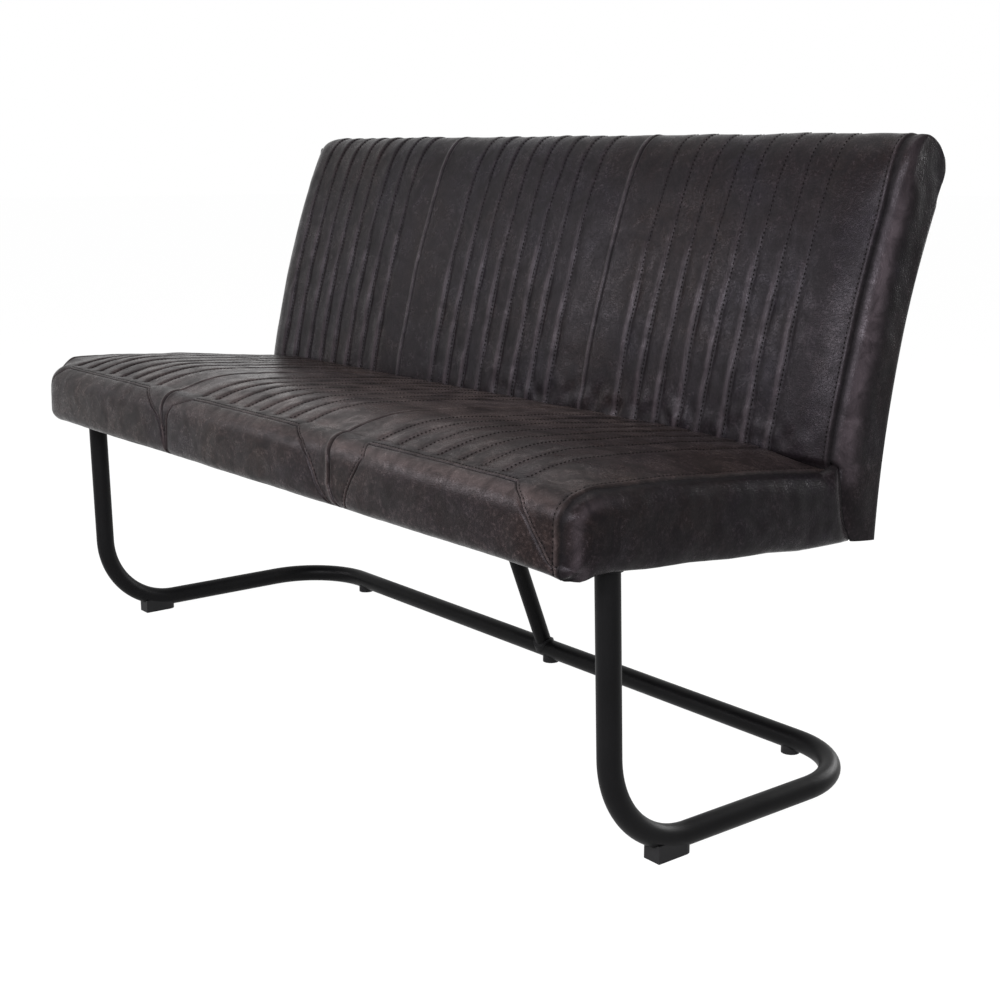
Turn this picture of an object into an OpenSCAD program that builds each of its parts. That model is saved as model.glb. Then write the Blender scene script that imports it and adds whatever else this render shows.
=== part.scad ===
// Three-seat dining bench with a back: channelled leather cushions on a bent-tube cantilever frame.
// Millimetres, +Z up, the sitter faces -Y. The origin is the middle of the footprint, on the floor.
// Inside the modules y is measured back from the front legs' axis, and bench() moves it to the origin.

/* [Overall] */
// Width between the bulges of the two end panels
bench_w = 1490; // [1430:10:1550]
// How far the seat's front stands ahead of the front legs
seat_front = 105; // [98:1:112]

/* [Tube frame] */
// Outer diameter of the frame tube
tube_d = 32; // [30:1:34]
// Wall of the frame tube
tube_wall = 2; // [1.5:0.5:3]
// Gap between the tube and the floor
tube_lift = 6; // [5:0.5:8]
// Distance from the middle of the bench to each leg
leg_x = 715; // [680:1:716]
// Centre-line radius of the bend under each front leg
foot_bend_r = 135; // [110:1:150]
// Centre-line radius of the two rear floor corners
corner_bend_r = 128; // [100:1:150]
// Distance from the front legs to the rear cross tube
rear_y = 495; // [480:1:510]
// Where the side tubes are butt welded to the rear tube
joint_y = 300; // [260:5:340]
// Forward lean of the front legs
leg_lean = 1.1; // [0:0.1:2]
// Inward lean of the front legs
leg_toe_in = 0.7; // [0:0.1:1]
// Outer diameter of the centre strut
strut_d = 28; // [24:1:30]
// Forward lean of the centre strut
strut_lean = 21; // [18:0.5:24]

/* [Feet] */
// Length of each moulded front foot block
foot_l = 62; // [50:1:66]
// Width of each front foot block
foot_w = 28; // [24:1:31]
// Middle of the front foot blocks, back from the legs
foot_y = 104; // [100:1:106]
// Diameter of the three rear glides
glide_d = 28; // [24:1:31]
// Distance from the middle to the outer glides
glide_x = 572; // [540:1:585]
// Offset of the middle glide, clear of the strut
glide_mid_x = 15; // [8:1:22]

/* [Seat] */
// Height of the seat's underside at the front legs
seat_under = 395; // [385:1:405]
// Backward slope of the seat
seat_tilt = 4.3; // [3.5:0.1:5]
// Thickness of the seat cushion along its end seams
seat_t = 101.5; // [98:0.5:105]
// Radius of the seat's upper front edge
seat_edge_r = 38.5; // [34:0.5:42]
// Radius of the seat's lower front edge
seat_low_r = 18; // [12:1:22]
// Rise of the middle of the seat above its end seams
seat_crown = 22; // [14:1:28]
// Rear end of the seat's top panels
seat_rear = 336; // [330:1:338]

/* [Back] */
// Radius of the back's front face, seen from the end
back_r = 1784; // [1700:4:1860]
// Lean of the back at the seat
back_low_a = 9.4; // [9:0.1:10]
// Lean of the back where its top roll starts
back_top_a = 22.9; // [22:0.1:23]
// Radius of the roll along the top of the back
back_roll_r = 46; // [44:1:48]
// Radius of the back's rear face, seen from the end
rear_r = 1250; // [1240:1:1260]

/* [Upholstery] */
// Distance from the middle of the bench to each section seam
section_seam_x = 245.5; // [235:0.5:255]
// Stitched lines in each section
lines = 8; // [5:1:9]
// Distance between two stitched lines
line_pitch = 44.5; // [38:0.5:46]
// Depth of a stitched line below the flutes beside it
groove_d = 5; // [3:0.5:7]
// Depth of the seams between sections and along the ends
seam_d = 5; // [3:0.5:7]
// Middle of the stitched lines of the left, middle and right section on the seat
seat_groups = [-482, -14, 479];
// The same on the back
back_groups = [-480, 9, 479];

/* [Hidden] */
$fn = 64;
tube_r = tube_d / 2;
tube_z = tube_lift + tube_r;
strut_r = strut_d / 2;
body_x = 725;              // where panels and foam stop and the end panels begin
end_x = bench_w / 2;
crown_power = 10;          // the crown stays level and drops near the ends
cut = 400;                 // larger than anything it cuts
gap = 0.1;                 // between layers that lie on each other

// Layers of the seat, measured up from its underside
plate_t = 5;
dust_t = 1.2;
board_low = plate_t + dust_t + 2 * gap;
board_t = 21;
board_top = board_low + board_t;
strap_t = 2;
foam_low = board_top + 2 * strap_t + gap;
foam_top = 86;
skin_t = seat_t - foam_top;    // leather and padding over the foam
foam_r = seat_edge_r - skin_t - gap;
edge_w = seat_t - seat_edge_r; // height of the upper front edge's centre
timber_front = -88;            // front of the front board and of the rail on it
front_board_v = -46;           // where the side and cross boards start
rear_board_v = 270;            // and where they end
board_rear = 436;
side_board_w = 122;
cross_board_w = 60;
front_rail_t = 22;
front_rail_top = 61;

// The seat's front face is upright while the seat slopes, so it leans forward in the seat's frame
function face_centre(r, w) = (r - seat_front - w * sin(seat_tilt)) / cos(seat_tilt);
edge_v = face_centre(seat_edge_r, edge_w);
low_v = face_centre(seat_low_r, seat_low_r);
face_a = 180 + seat_tilt;
band_a = 120;              // where the front bands end on the upper edge

// The back's two faces are arcs about centres far behind the bench
back_foot_y = 355.7;
back_foot_z = 468;
back_cy = back_foot_y + back_r * cos(back_low_a);
back_cz = back_foot_z - back_r * sin(back_low_a);
rear_cy = 1695;
rear_cz = 317;
back_low_z = 366;
roll = back_at(back_roll_r, back_top_a);  // middle of the roll along the top
roll_turns = [36, 72, 108, 144, 180];
flute_h = 3;               // the flutes stand this much proud of the face between the seams
pad_d = 14;                // leather and padding of the back panels
foam_d = 49;               // rear of the back's foam
post_d = 51.4;             // front of the back's timber posts
rail_d = 52.4;
rail_t = 26;
cover_t = 5;

// The origin lies midway between the bands' middles in front and the roll's flutes behind
front_reach = seat_front + seam_d;
rear_reach = roll[0] + (back_roll_r + flute_h) * cos(180 - back_top_a - roll_turns[3]);
origin_y = (rear_reach - front_reach) / 2;

bolt_r = 4;
hole_r = 4.5;
tee_hole_r = 5;
strap_w = 60;
post_t = 22;
frame_x = 722;             // outer ends of the seat board and back posts

// Bolts: [x, distance along the seat]
leg_bolts = [for (s = [-1, 1], x = [632, 688], v = [-34, 34]) [s * x, v]];
strut_bolts = [for (x = [-40, 40], v = [310, 374]) [x, v]];
back_bolts_at = [for (x = [-600, -150, 150, 600]) [x, 421]];

LEATHER = [0.16, 0.145, 0.15];
POWDER = [0.09, 0.095, 0.1];
FOAM = [0.93, 0.87, 0.62];
TIMBER = [0.78, 0.62, 0.42];
STRAP = [0.25, 0.24, 0.23];
ZINC = [0.72, 0.73, 0.75];
PLASTIC = [0.06, 0.06, 0.065];

// Frames of reference

module bench() translate([0, -origin_y, 0]) children();

// The seat's own frame: y runs back along its slope and z up from its underside
module seat() bench() translate([0, 0, seat_under]) rotate([-seat_tilt, 0, 0]) children();

// Draws in the side plane: x becomes y, y becomes z and z becomes x
module side_plane() rotate([90, 0, 90]) children();

module right_or_left(right) mirror([right ? 0 : 1, 0, 0]) children();

module across(x0, x1) translate([x0, 0, 0]) side_plane() linear_extrude(x1 - x0) children();

// Points of an arc in the side plane
function on_arc(cy, cz, r, a) = [cy + r * cos(a), cz + r * sin(a)];

// A point of the back: d behind its front face, at lean a
function back_at(d, a) = on_arc(back_cy, back_cz, back_r - d, 180 - a);
// A point of the roll along the top of the back, at radius r, turn t from its front
function roll_at(r, t) = on_arc(roll[0], roll[1], r, 180 - back_top_a - t);
// A point d ahead of the back's rear face, at height z
function rear_at(d, z) = [rear_cy - sqrt((rear_r + d) ^ 2 - (z - rear_cz) ^ 2), z];

// A closed shell between two grids of points with the same rows and columns
module shell(outer, inner, flip) {
    rows = len(outer);
    cols = len(outer[0]);
    o = function(i, j) i * cols + j;
    n = function(i, j) rows * cols + i * cols + j;
    quads = concat(
        [for (i = [0:rows - 2], j = [0:cols - 2]) [o(i, j), o(i, j + 1), o(i + 1, j + 1), o(i + 1, j)]],
        [for (i = [0:rows - 2], j = [0:cols - 2]) [n(i, j), n(i + 1, j), n(i + 1, j + 1), n(i, j + 1)]],
        [for (j = [0:cols - 2]) [o(0, j), n(0, j), n(0, j + 1), o(0, j + 1)]],
        [for (j = [0:cols - 2]) [o(rows - 1, j), o(rows - 1, j + 1), n(rows - 1, j + 1), n(rows - 1, j)]],
        [for (i = [0:rows - 2]) [o(i, 0), o(i + 1, 0), n(i + 1, 0), n(i, 0)]],
        [for (i = [0:rows - 2]) [o(i, cols - 1), n(i, cols - 1), n(i + 1, cols - 1), o(i + 1, cols - 1)]]);
    triangles = [for (q = quads) each [[q[0], q[1], q[2]], [q[0], q[2], q[3]]]];
    polyhedron(concat([for (row = outer) each row], [for (row = inner) each row]),
        flip ? triangles : [for (t = triangles) [t[2], t[1], t[0]]]);
}

// Sewn sections: [x, share of the groove, share of the seam] across one section

function section_edges(s) = s == 0 ? [-body_x, -section_seam_x] :
    s == 1 ? [-section_seam_x, section_seam_x] : [section_seam_x, body_x];

function columns(s, groups) =
    let (e = section_edges(s), first = groups[s] - (lines - 1) * line_pitch / 2,
         last = groups[s] + (lines - 1) * line_pitch / 2)
    concat([[e[0], 0, 1], [e[0] + 9, 0, 0.1], [first - 12, 0, 0]],
        [for (i = [0:lines - 1]) each concat([[first + i * line_pitch, 1, 0]],
            i < lines - 1 ? [[first + (i + 0.28) * line_pitch, 0, 0],
                             [first + (i + 0.72) * line_pitch, 0, 0]] : [])],
        [[last + 12, 0, 0], [e[1] - 9, 0, 0.1], [e[1], 0, 1]]);

// Height of the seat's end seam, and of its crown
function seam_w(v) = seat_t + 5 * (1 - ((v - 150) / 221) ^ 2);
function crown_w(x, v) =
    seat_crown * (1 - abs(x / body_x) ^ crown_power) * (1 - (1 - min(1, max(0, (v - edge_v) / 110))) ^ 2);

// Rows of a seat panel: round the upper front edge, then back along the top
panel_turns = [band_a, 105, 90];
panel_rows = [-40, 10, 80, 170, 260, seat_rear];

function seat_outer(s) = concat(
    [for (a = panel_turns) [for (c = columns(s, seat_groups))
        let (p = on_arc(edge_v, edge_w, seat_edge_r - 0.5 * groove_d * c[1] - seam_d * c[2], a))
        [c[0], p[0], p[1]]]],
    [for (v = panel_rows) [for (c = columns(s, seat_groups))
        [c[0], v, seam_w(v) + crown_w(c[0], v) - groove_d * c[1] - seam_d * c[2]]]]);

function seat_inner(s) = concat(
    [for (a = panel_turns) [for (c = columns(s, seat_groups))
        let (p = on_arc(edge_v, edge_w, seat_edge_r - skin_t, a)) [c[0], p[0], p[1]]]],
    [for (v = panel_rows) [for (c = columns(s, seat_groups)) [c[0], v, foam_top]]]);

module seat_panel(s) color(LEATHER) seat() shell(seat_outer(s), seat_inner(s), false);

// Front bands: from the lower front corner up the face and over the edge to the panel's seam

band_turns = [face_a, 163, 141, band_a];

function band_path(inset, low) = concat(
    [[low_v, low], on_arc(low_v, seat_low_r, seat_low_r - inset / 3, 225),
     on_arc(low_v, seat_low_r, seat_low_r - inset, face_a)],
    [for (a = band_turns) on_arc(edge_v, edge_w, seat_edge_r - inset, a)]);

function band_columns(s) =
    let (e = section_edges(s), m = (e[0] + e[1]) / 2)
    [[e[0], 1], [e[0] + 9, 0.2], [(e[0] + m) / 2, -0.7], [m, -1], [(e[1] + m) / 2, -0.7],
     [e[1] - 9, 0.2], [e[1], 1]];

function band_grid(s, inset, low, draw) =
    [for (i = [0:len(band_path(0, 0)) - 1]) [for (c = band_columns(s))
        let (p = band_path(inset + (i > 1 ? draw * c[1] : 0), low)[i]) [c[0], p[0], p[1]]]];

module seat_band(s) color(LEATHER) seat()
    shell(band_grid(s, 0, 0, seam_d), band_grid(s, skin_t, board_low - 0.2, 0), false);

// End panels of the seat: bulged boxing between the seams, drawn in at its rim

end_rows = [-86, -60, -20, 50, 130, 210, 280, 328];
end_shares = [0, 0.1, 0.5, 0.9, 1];
end_bulge = [0.35, 0.85, 1, 0.85, 0.35];

function seat_end_low(v) = [v, max(0, seat_low_r - sqrt(max(0, seat_low_r ^ 2 - max(0, low_v - v) ^ 2)))];
function seat_end_high(v) = v < edge_v ?
    [v, edge_w + sqrt(seat_edge_r ^ 2 - (v - edge_v) ^ 2)] : [v, seam_w(v)];
function seat_end_row(v, fullness, x) = [for (j = [0:4])
    let (p = seat_end_low(v) * (1 - end_shares[j]) + seat_end_high(v) * end_shares[j])
    [x + (end_x - x) * end_bulge[j] * fullness, p[0], p[1]]];
// The front edge and the slanted rear edge close the outline
seat_end_front = [for (j = [0:4]) let (w = [seat_low_r, 30, 40, 50, edge_w][j])
    [0, face_centre(0, w), w]];
seat_end_rear = [for (j = [0:4]) [0, 400 - 56 * end_shares[j], 4 + 92 * end_shares[j]]];

module seat_end() color(LEATHER) seat() {
    inner_x = body_x + 0.2;
    rim = function(row, k) [for (j = [0:4]) [inner_x + (end_x - inner_x) * end_bulge[j] * k,
        row[j][1], row[j][2]]];
    flat = function(row) [for (p = row) [inner_x, p[1], p[2]]];
    middle = [for (i = [0:len(end_rows) - 1]) seat_end_row(end_rows[i], i == 0 ? 0.85 : 1, inner_x)];
    outer = concat([rim(seat_end_front, 0.4)], middle, [rim(seat_end_rear, 0.4)]);
    shell(outer, [for (row = outer) flat(row)], true);
}

// Seat carcass

module seat_holes(r, at) for (p = at) translate([p[0], p[1], -1]) cylinder(r = r, h = 80);

module board(x, w, v0, v1) translate([x - w / 2, v0, board_low]) cube([w, v1 - v0, board_t]);

module seat_front_board() color(TIMBER) seat() board(0, 2 * frame_x, timber_front, front_board_v);

module seat_rear_board() color(TIMBER) seat() difference() {
    board(0, 2 * frame_x, rear_board_v, board_rear);
    seat_holes(tee_hole_r, strut_bolts);
    seat_holes(hole_r, back_bolts_at);
    for (p = back_bolts_at) translate([p[0], p[1], 0]) cylinder(r = 9, h = board_low + 6);
}

module seat_side_board() color(TIMBER) seat() difference() {
    board(frame_x - side_board_w / 2, side_board_w, front_board_v, rear_board_v);
    seat_holes(tee_hole_r, leg_bolts);
}

module seat_cross_board() color(TIMBER) seat()
    board(section_seam_x, cross_board_w, front_board_v, rear_board_v);

module seat_front_rail() color(TIMBER) seat()
    translate([-frame_x, timber_front, board_top]) cube([2 * frame_x, front_rail_t, front_rail_top - board_top]);

module seat_webbing() color(STRAP) seat() {
    for (x = [-580:145:580])
        translate([x - strap_w / 2, -62, board_top]) cube([strap_w, 370, strap_t]);
    for (v = [25, 125, 225])
        translate([-650, v - strap_w / 2, board_top + strap_t]) cube([1300, strap_w, strap_t]);
}

module seat_foam() color(FOAM) seat() across(-body_x, body_x) polygon(concat(
    [[seat_rear, foam_low], [-65, foam_low], [-65, front_rail_top + 2],
     on_arc(edge_v, edge_w, foam_r, face_a)],
    [for (a = [163, 141, band_a, 105, 90]) on_arc(edge_v, edge_w, foam_r, a)],
    [[seat_rear, foam_top - gap]]));

module seat_dust_cover() color(STRAP) seat() difference() {
    translate([-frame_x, -80, plate_t + gap]) cube([2 * frame_x, 480, dust_t]);
    seat_holes(hole_r, concat(leg_bolts, strut_bolts));
}

// Tube frame

module side_run(r) translate([leg_x, 0, tube_z]) rotate([0, -leg_toe_in, 0]) side_plane() {
    translate([foot_bend_r, foot_bend_r]) {
        rotate([0, 0, 180 + leg_lean]) rotate_extrude(angle = 90 - leg_lean)
            translate([foot_bend_r, 0]) circle(r);
        rotate([0, 0, leg_lean]) translate([-foot_bend_r, 0, 0]) rotate([-90, 0, 0])
            cylinder(r = r, h = cut);
    }
    translate([foot_bend_r, 0, 0]) rotate([0, 90, 0]) cylinder(r = r, h = joint_y - foot_bend_r);
}

module above_seat() seat() translate([-2 * cut, -cut, 0]) cube([4 * cut, 2 * cut, 2 * cut]);

module foot_peg(r) translate([leg_x, foot_y + 16, tube_lift - 4]) cylinder(r = r, h = 14);

module side_tube() color(POWDER) difference() {
    bench() side_run(tube_r);
    bench() side_run(tube_r - tube_wall);
    bench() foot_peg(3.6);
    above_seat();
}

module rear_run(r) translate([0, 0, tube_z]) {
    turn_x = leg_x - corner_bend_r;
    turn_y = rear_y - corner_bend_r;
    for (s = [0, 1]) mirror([s, 0, 0]) {
        translate([turn_x, turn_y, 0]) rotate_extrude(angle = 90) translate([corner_bend_r, 0]) circle(r);
        translate([leg_x, joint_y, 0]) rotate([-90, 0, 0]) cylinder(r = r, h = turn_y - joint_y);
    }
    translate([-turn_x, rear_y, 0]) rotate([0, 90, 0]) cylinder(r = r, h = 2 * turn_x);
}

glides_at = [-glide_x, glide_mid_x, glide_x];

module rear_tube() color(POWDER) bench() difference() {
    rear_run(tube_r);
    rear_run(tube_r - tube_wall);
    for (x = glides_at) translate([x, rear_y, 0]) cylinder(r = 4.1, h = tube_z);
}

module strut_rod(r) translate([0, rear_y, tube_z]) rotate([strut_lean, 0, 0]) cylinder(r = r, h = cut);

module cross_rod(r) translate([-cut, rear_y, tube_z]) rotate([0, 90, 0]) cylinder(r = r, h = 2 * cut);

module centre_strut() color(POWDER) difference() {
    bench() strut_rod(strut_r);
    bench() strut_rod(strut_r - tube_wall);
    bench() cross_rod(tube_r + 0.02);
    above_seat();
}

// Fillet welds: round the strut's foot, and round the tops of the three tubes under their plates
module weld_beads() color(POWDER) {
    bench() difference() {
        intersection() {
            strut_rod(strut_r + 4);
            cross_rod(tube_r + 4);
        }
        strut_rod(strut_r + 0.02);
        cross_rod(tube_r + 0.04);
    }
    for (s = [0, 1]) mirror([s, 0, 0]) difference() {
        bench() side_run(tube_r + 3);
        bench() side_run(tube_r + 0.02);
        seat() translate([0, -cut, -2 * cut - 3]) cube([3 * cut, 3 * cut, 2 * cut]);
        above_seat();
    }
    difference() {
        bench() strut_rod(strut_r + 3);
        bench() strut_rod(strut_r + 0.02);
        seat() translate([-cut, -cut, -2 * cut - 3]) cube([2 * cut, 3 * cut, 2 * cut]);
        above_seat();
    }
}

module leg_plate() color(POWDER) seat() difference() {
    translate([frame_x - 110, -48, 0]) cube([110, 96, plate_t]);
    seat_holes(hole_r, leg_bolts);
}

module strut_plate() color(POWDER) seat() difference() {
    translate([-58, 296, 0]) cube([116, 92, plate_t]);
    seat_holes(hole_r, strut_bolts);
}

// Moulded foot block: a rounded slab whose top is hollowed to fit under the bend
module front_foot() color(PLASTIC) bench() {
    difference() {
        union() {
            translate([leg_x - foot_w / 2, foot_y - foot_l / 2, 0])
                cube([foot_w, foot_l - foot_w / 2, 24]);
            translate([leg_x, foot_y + foot_l / 2 - foot_w / 2, 0]) cylinder(r = foot_w / 2, h = 24);
        }
        side_run(tube_r + 0.05);
        translate([0, foot_y, tube_z + 4]) cube([cut * 2, cut, cut]);
    }
    foot_peg(3.4);
}

module rear_glide(x) color(PLASTIC) bench() translate([x, rear_y, 0]) {
    difference() {
        cylinder(r = glide_d / 2, h = 13);
        translate([-20, 0, tube_z]) rotate([0, 90, 0]) cylinder(r = tube_r + 0.05, h = 40);
    }
    translate([0, 0, tube_lift - 1]) cylinder(r = 3.9, h = 11);
}

// Fasteners

module button_bolt(at, low, length) translate([at[0], at[1], low]) {
    translate([0, 0, -4]) difference() {
        cylinder(r = 7, h = 4);
        translate([0, 0, -1]) cylinder(r = 2.9, h = 3.2, $fn = 6);
    }
    cylinder(r = bolt_r, h = length);
}

module tee_nut(at, top) translate([at[0], at[1], 0]) difference() {
    union() {
        translate([0, 0, top]) cylinder(r = 9, h = 1.4);
        translate([0, 0, top - 12]) cylinder(r = tee_hole_r - 0.1, h = 12.2);
    }
    translate([0, 0, top - 13]) cylinder(r = bolt_r + 0.1, h = 20);
}

module frame_bolts() color(ZINC) seat()
    for (p = concat(leg_bolts, strut_bolts)) button_bolt(p, -1.6, board_top + 1);

module frame_washers() color(ZINC) seat()
    for (p = concat(leg_bolts, strut_bolts)) translate([p[0], p[1], -1.6]) difference() {
        cylinder(r = 8, h = 1.6);
        translate([0, 0, -1]) cylinder(r = bolt_r + 0.3, h = 4);
    }

module frame_tee_nuts() color(ZINC) seat()
    for (p = concat(leg_bolts, strut_bolts)) tee_nut(p, board_top);

bottom_rail_top = 75;

module back_bolts() color(ZINC) seat() for (p = back_bolts_at) button_bolt(p, board_low + 6, 64);

module back_tee_nuts() color(ZINC) seat() for (p = back_bolts_at) tee_nut(p, bottom_rail_top);

// Back carcass

module back_profile(d0, d1, a0, a1, n) polygon(concat(
    [for (i = [0:n]) back_at(d0, a0 + (a1 - a0) * i / n)],
    [for (i = [n:-1:0]) back_at(d1, a0 + (a1 - a0) * i / n)]));

module back_post() color(TIMBER) bench() across(frame_x - post_t, frame_x) polygon(concat(
    [[back_at(post_d, 9)[0], 396]],
    [for (i = [0:6]) back_at(post_d, 9 + (back_top_a - 9.05) * i / 6)],
    [back_at(back_roll_r + 32, back_top_a - 0.05)],
    [for (z = [780, 700, 620, 540, 460, 396]) rear_at(7, z)]));

module back_middle_post() color(TIMBER) difference() {
    bench() across(section_seam_x - post_t / 2, section_seam_x + post_t / 2)
        back_profile(rail_d, rail_d + rail_t, 8, back_top_a - 1.6, 6);
    seat() translate([-2 * cut, 300, 0]) cube([4 * cut, 200, bottom_rail_top]);
}

module back_top_rail() color(TIMBER) bench() across(post_t - frame_x, frame_x - post_t)
    back_profile(rail_d, rail_d + rail_t, back_top_a - 1.6, back_top_a - 0.05, 1);

module back_bottom_rail() color(TIMBER) seat() difference() {
    translate([post_t - frame_x, 406, board_top + gap])
        cube([2 * (frame_x - post_t), 30, bottom_rail_top - board_top - gap]);
    seat_holes(tee_hole_r, back_bolts_at);
}

module back_webbing() color(STRAP) bench() across(-frame_x, frame_x)
    for (a = [12.2, 15, 17.8, 20.6]) back_profile(foam_d + 0.6, post_d - 0.3, a - 1, a + 1, 1);

// Rows of a back panel: up the front face, then over the roll to the rear seam
face_leans = [for (i = [0:5]) back_low_a + (back_top_a - back_low_a) * i / 5];

module back_foam() color(FOAM) bench() across(-body_x, body_x) polygon(concat(
    [for (a = face_leans) back_at(pad_d + gap, a)],
    [for (t = roll_turns) roll_at(back_roll_r - pad_d - gap, t)],
    [back_at(foam_d, back_top_a)],
    [for (i = [5:-1:0]) back_at(foam_d, face_leans[i])]));

function back_rise(c) = flute_h - groove_d * c[1] - seam_d * c[2];
function back_outer(s) = concat(
    [for (a = face_leans) [for (c = columns(s, back_groups))
        let (p = back_at(-back_rise(c), a)) [c[0], p[0], p[1]]]],
    [for (t = roll_turns) [for (c = columns(s, back_groups))
        let (p = roll_at(back_roll_r + back_rise(c) * (t < 180 ? 1 : 0.3), t)) [c[0], p[0], p[1]]]]);
function back_inner(s) = concat(
    [for (a = face_leans) [for (c = columns(s, back_groups)) let (p = back_at(pad_d, a)) [c[0], p[0], p[1]]]],
    [for (t = roll_turns) [for (c = columns(s, back_groups))
        let (p = roll_at(back_roll_r - pad_d, t)) [c[0], p[0], p[1]]]]);

module back_panel(s) color(LEATHER) bench() shell(back_outer(s), back_inner(s), false);

// End panels of the back: [front point, rear point] up the side, closing over the roll

back_end_sides = concat(
    [for (t = [0:2]) [[407 - 16.5 * t, back_low_z + 1 + 33 * t], rear_at(0, back_low_z + 1 + 33 * t)]],
    [for (i = [0:4]) [back_at(0, face_leans[i]), rear_at(0, [468, 550, 630, 705, 775][i])]],
    [[roll_at(back_roll_r, 0), roll_at(back_roll_r, 180)],
     [roll_at(back_roll_r, 30), roll_at(back_roll_r, 150)],
     [roll_at(back_roll_r, 50), roll_at(back_roll_r, 130)],
     [roll_at(back_roll_r, 72), roll_at(back_roll_r, 108)]]);

module back_end() color(LEATHER) bench() {
    inner_x = body_x + 0.2;
    last = len(back_end_sides) - 1;
    full = function(i) i == 0 || i == last ? 0.4 : 1;
    grid = function(k) [for (i = [0:last]) [for (j = [0:4])
        let (p = back_end_sides[i][0] * (1 - end_shares[j]) + back_end_sides[i][1] * end_shares[j])
        [inner_x + k * (end_x - inner_x) * end_bulge[j] * full(i), p[0], p[1]]]];
    shell(grid(1), grid(0), false);
}

module back_rear_cover() color(LEATHER) bench() across(-body_x, body_x) polygon(concat(
    [for (z = [830, 770, 700, 630, 560, 490, 420, back_low_z]) rear_at(0, z)],
    [[410, back_low_z], [410, back_low_z + 1.6]],
    [for (z = [back_low_z + 1.6, 420, 490, 560, 630, 700, 770, 824]) rear_at(cover_t, z)]));

right_or_left(false) side_tube();  // side_tube_left
right_or_left(true) side_tube();  // side_tube_right
rear_tube();
centre_strut();
weld_beads();
right_or_left(false) leg_plate();  // leg_plate_left
right_or_left(true) leg_plate();  // leg_plate_right
strut_plate();
right_or_left(false) front_foot();  // front_foot_left
right_or_left(true) front_foot();  // front_foot_right
rear_glide(glides_at[0]);  // rear_glide_left
rear_glide(glides_at[1]);  // rear_glide_middle
rear_glide(glides_at[2]);  // rear_glide_right
frame_bolts();
frame_washers();
frame_tee_nuts();
seat_front_board();
seat_rear_board();
right_or_left(false) seat_side_board();  // seat_side_board_left
right_or_left(true) seat_side_board();  // seat_side_board_right
right_or_left(false) seat_cross_board();  // seat_cross_board_left
right_or_left(true) seat_cross_board();  // seat_cross_board_right
seat_front_rail();
seat_webbing();
seat_foam();
seat_panel(0);  // seat_panel_left
seat_panel(1);  // seat_panel_middle
seat_panel(2);  // seat_panel_right
seat_band(0);  // seat_band_left
seat_band(1);  // seat_band_middle
seat_band(2);  // seat_band_right
right_or_left(false) seat_end();  // seat_end_left
right_or_left(true) seat_end();  // seat_end_right
seat_dust_cover();
right_or_left(false) back_post();  // back_post_left
right_or_left(true) back_post();  // back_post_right
right_or_left(false) back_middle_post();  // back_middle_post_left
right_or_left(true) back_middle_post();  // back_middle_post_right
back_top_rail();
back_bottom_rail();
back_webbing();
back_foam();
back_panel(0);  // back_panel_left
back_panel(1);  // back_panel_middle
back_panel(2);  // back_panel_right
right_or_left(false) back_end();  // back_end_left
right_or_left(true) back_end();  // back_end_right
back_rear_cover();
back_bolts();
back_tee_nuts();
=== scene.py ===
import math

import bpy
import numpy as np
from mathutils import Matrix, Vector, noise


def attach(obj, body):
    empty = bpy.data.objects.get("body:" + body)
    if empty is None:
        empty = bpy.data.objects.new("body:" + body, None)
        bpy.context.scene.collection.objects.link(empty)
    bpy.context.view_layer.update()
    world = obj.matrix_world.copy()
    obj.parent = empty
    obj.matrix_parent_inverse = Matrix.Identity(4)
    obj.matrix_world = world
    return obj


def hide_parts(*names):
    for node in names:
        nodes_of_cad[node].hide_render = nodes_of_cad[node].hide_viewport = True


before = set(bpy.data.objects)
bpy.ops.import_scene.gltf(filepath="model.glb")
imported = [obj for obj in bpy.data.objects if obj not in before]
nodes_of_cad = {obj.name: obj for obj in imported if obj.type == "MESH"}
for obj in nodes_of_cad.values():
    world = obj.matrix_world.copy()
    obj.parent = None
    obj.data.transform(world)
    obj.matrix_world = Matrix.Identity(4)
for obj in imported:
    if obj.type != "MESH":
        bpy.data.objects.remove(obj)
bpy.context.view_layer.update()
scene = bpy.context.scene


# Camera
# The photograph was taken from the bench's right front, just below the height of its back.
# The lens, the place and the two shifts come from the tube's and the seams' outlines.
camera_data = bpy.data.cameras.new("Camera")
camera_data.sensor_width = 36
camera_data.lens = 56.89
camera_data.shift_x = -0.02625
camera_data.shift_y = -0.0123
camera_data.clip_end = 100
camera = bpy.data.objects.new("Camera", camera_data)
scene.collection.objects.link(camera)
camera_place = (2.0533, -1.4506, 0.8721)
turn, tip, twist = 0.8867, -0.2071, 0.0032
ahead = Vector((-math.sin(turn) * math.cos(tip), math.cos(turn) * math.cos(tip), math.sin(tip)))
level_right = Vector((math.cos(turn), math.sin(turn), 0))
level_up = level_right.cross(ahead)
camera_right = math.cos(twist) * level_right + math.sin(twist) * level_up
camera_up = math.cos(twist) * level_up - math.sin(twist) * level_right
camera.matrix_world = Matrix.Translation(camera_place) @ Matrix(
    (camera_right, camera_up, -ahead)).transposed().to_4x4()
scene.camera = camera
scene.view_settings.view_transform = "Standard"


# Studio
# A plain pale floor without a wall, five soft boxes in an arc in front, one above and one behind.
# The background is white to the camera and in reflections, and dimmer where it lights the bench.
def new_material(name):
    material = bpy.data.materials.new(name)
    material.use_nodes = True
    material.node_tree.nodes.clear()
    output = material.node_tree.nodes.new("ShaderNodeOutputMaterial")
    return material, material.node_tree, output


def add_node(tree, kind, **settings):
    node = tree.nodes.new("ShaderNode" + kind)
    for key, value in settings.items():
        setattr(node, key, value)
    return node


def feed(tree, value, socket):
    # Another node's output is linked, and a number or a colour is set
    if hasattr(value, "is_output"):
        tree.links.new(value, socket)
    else:
        socket.default_value = value


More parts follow.
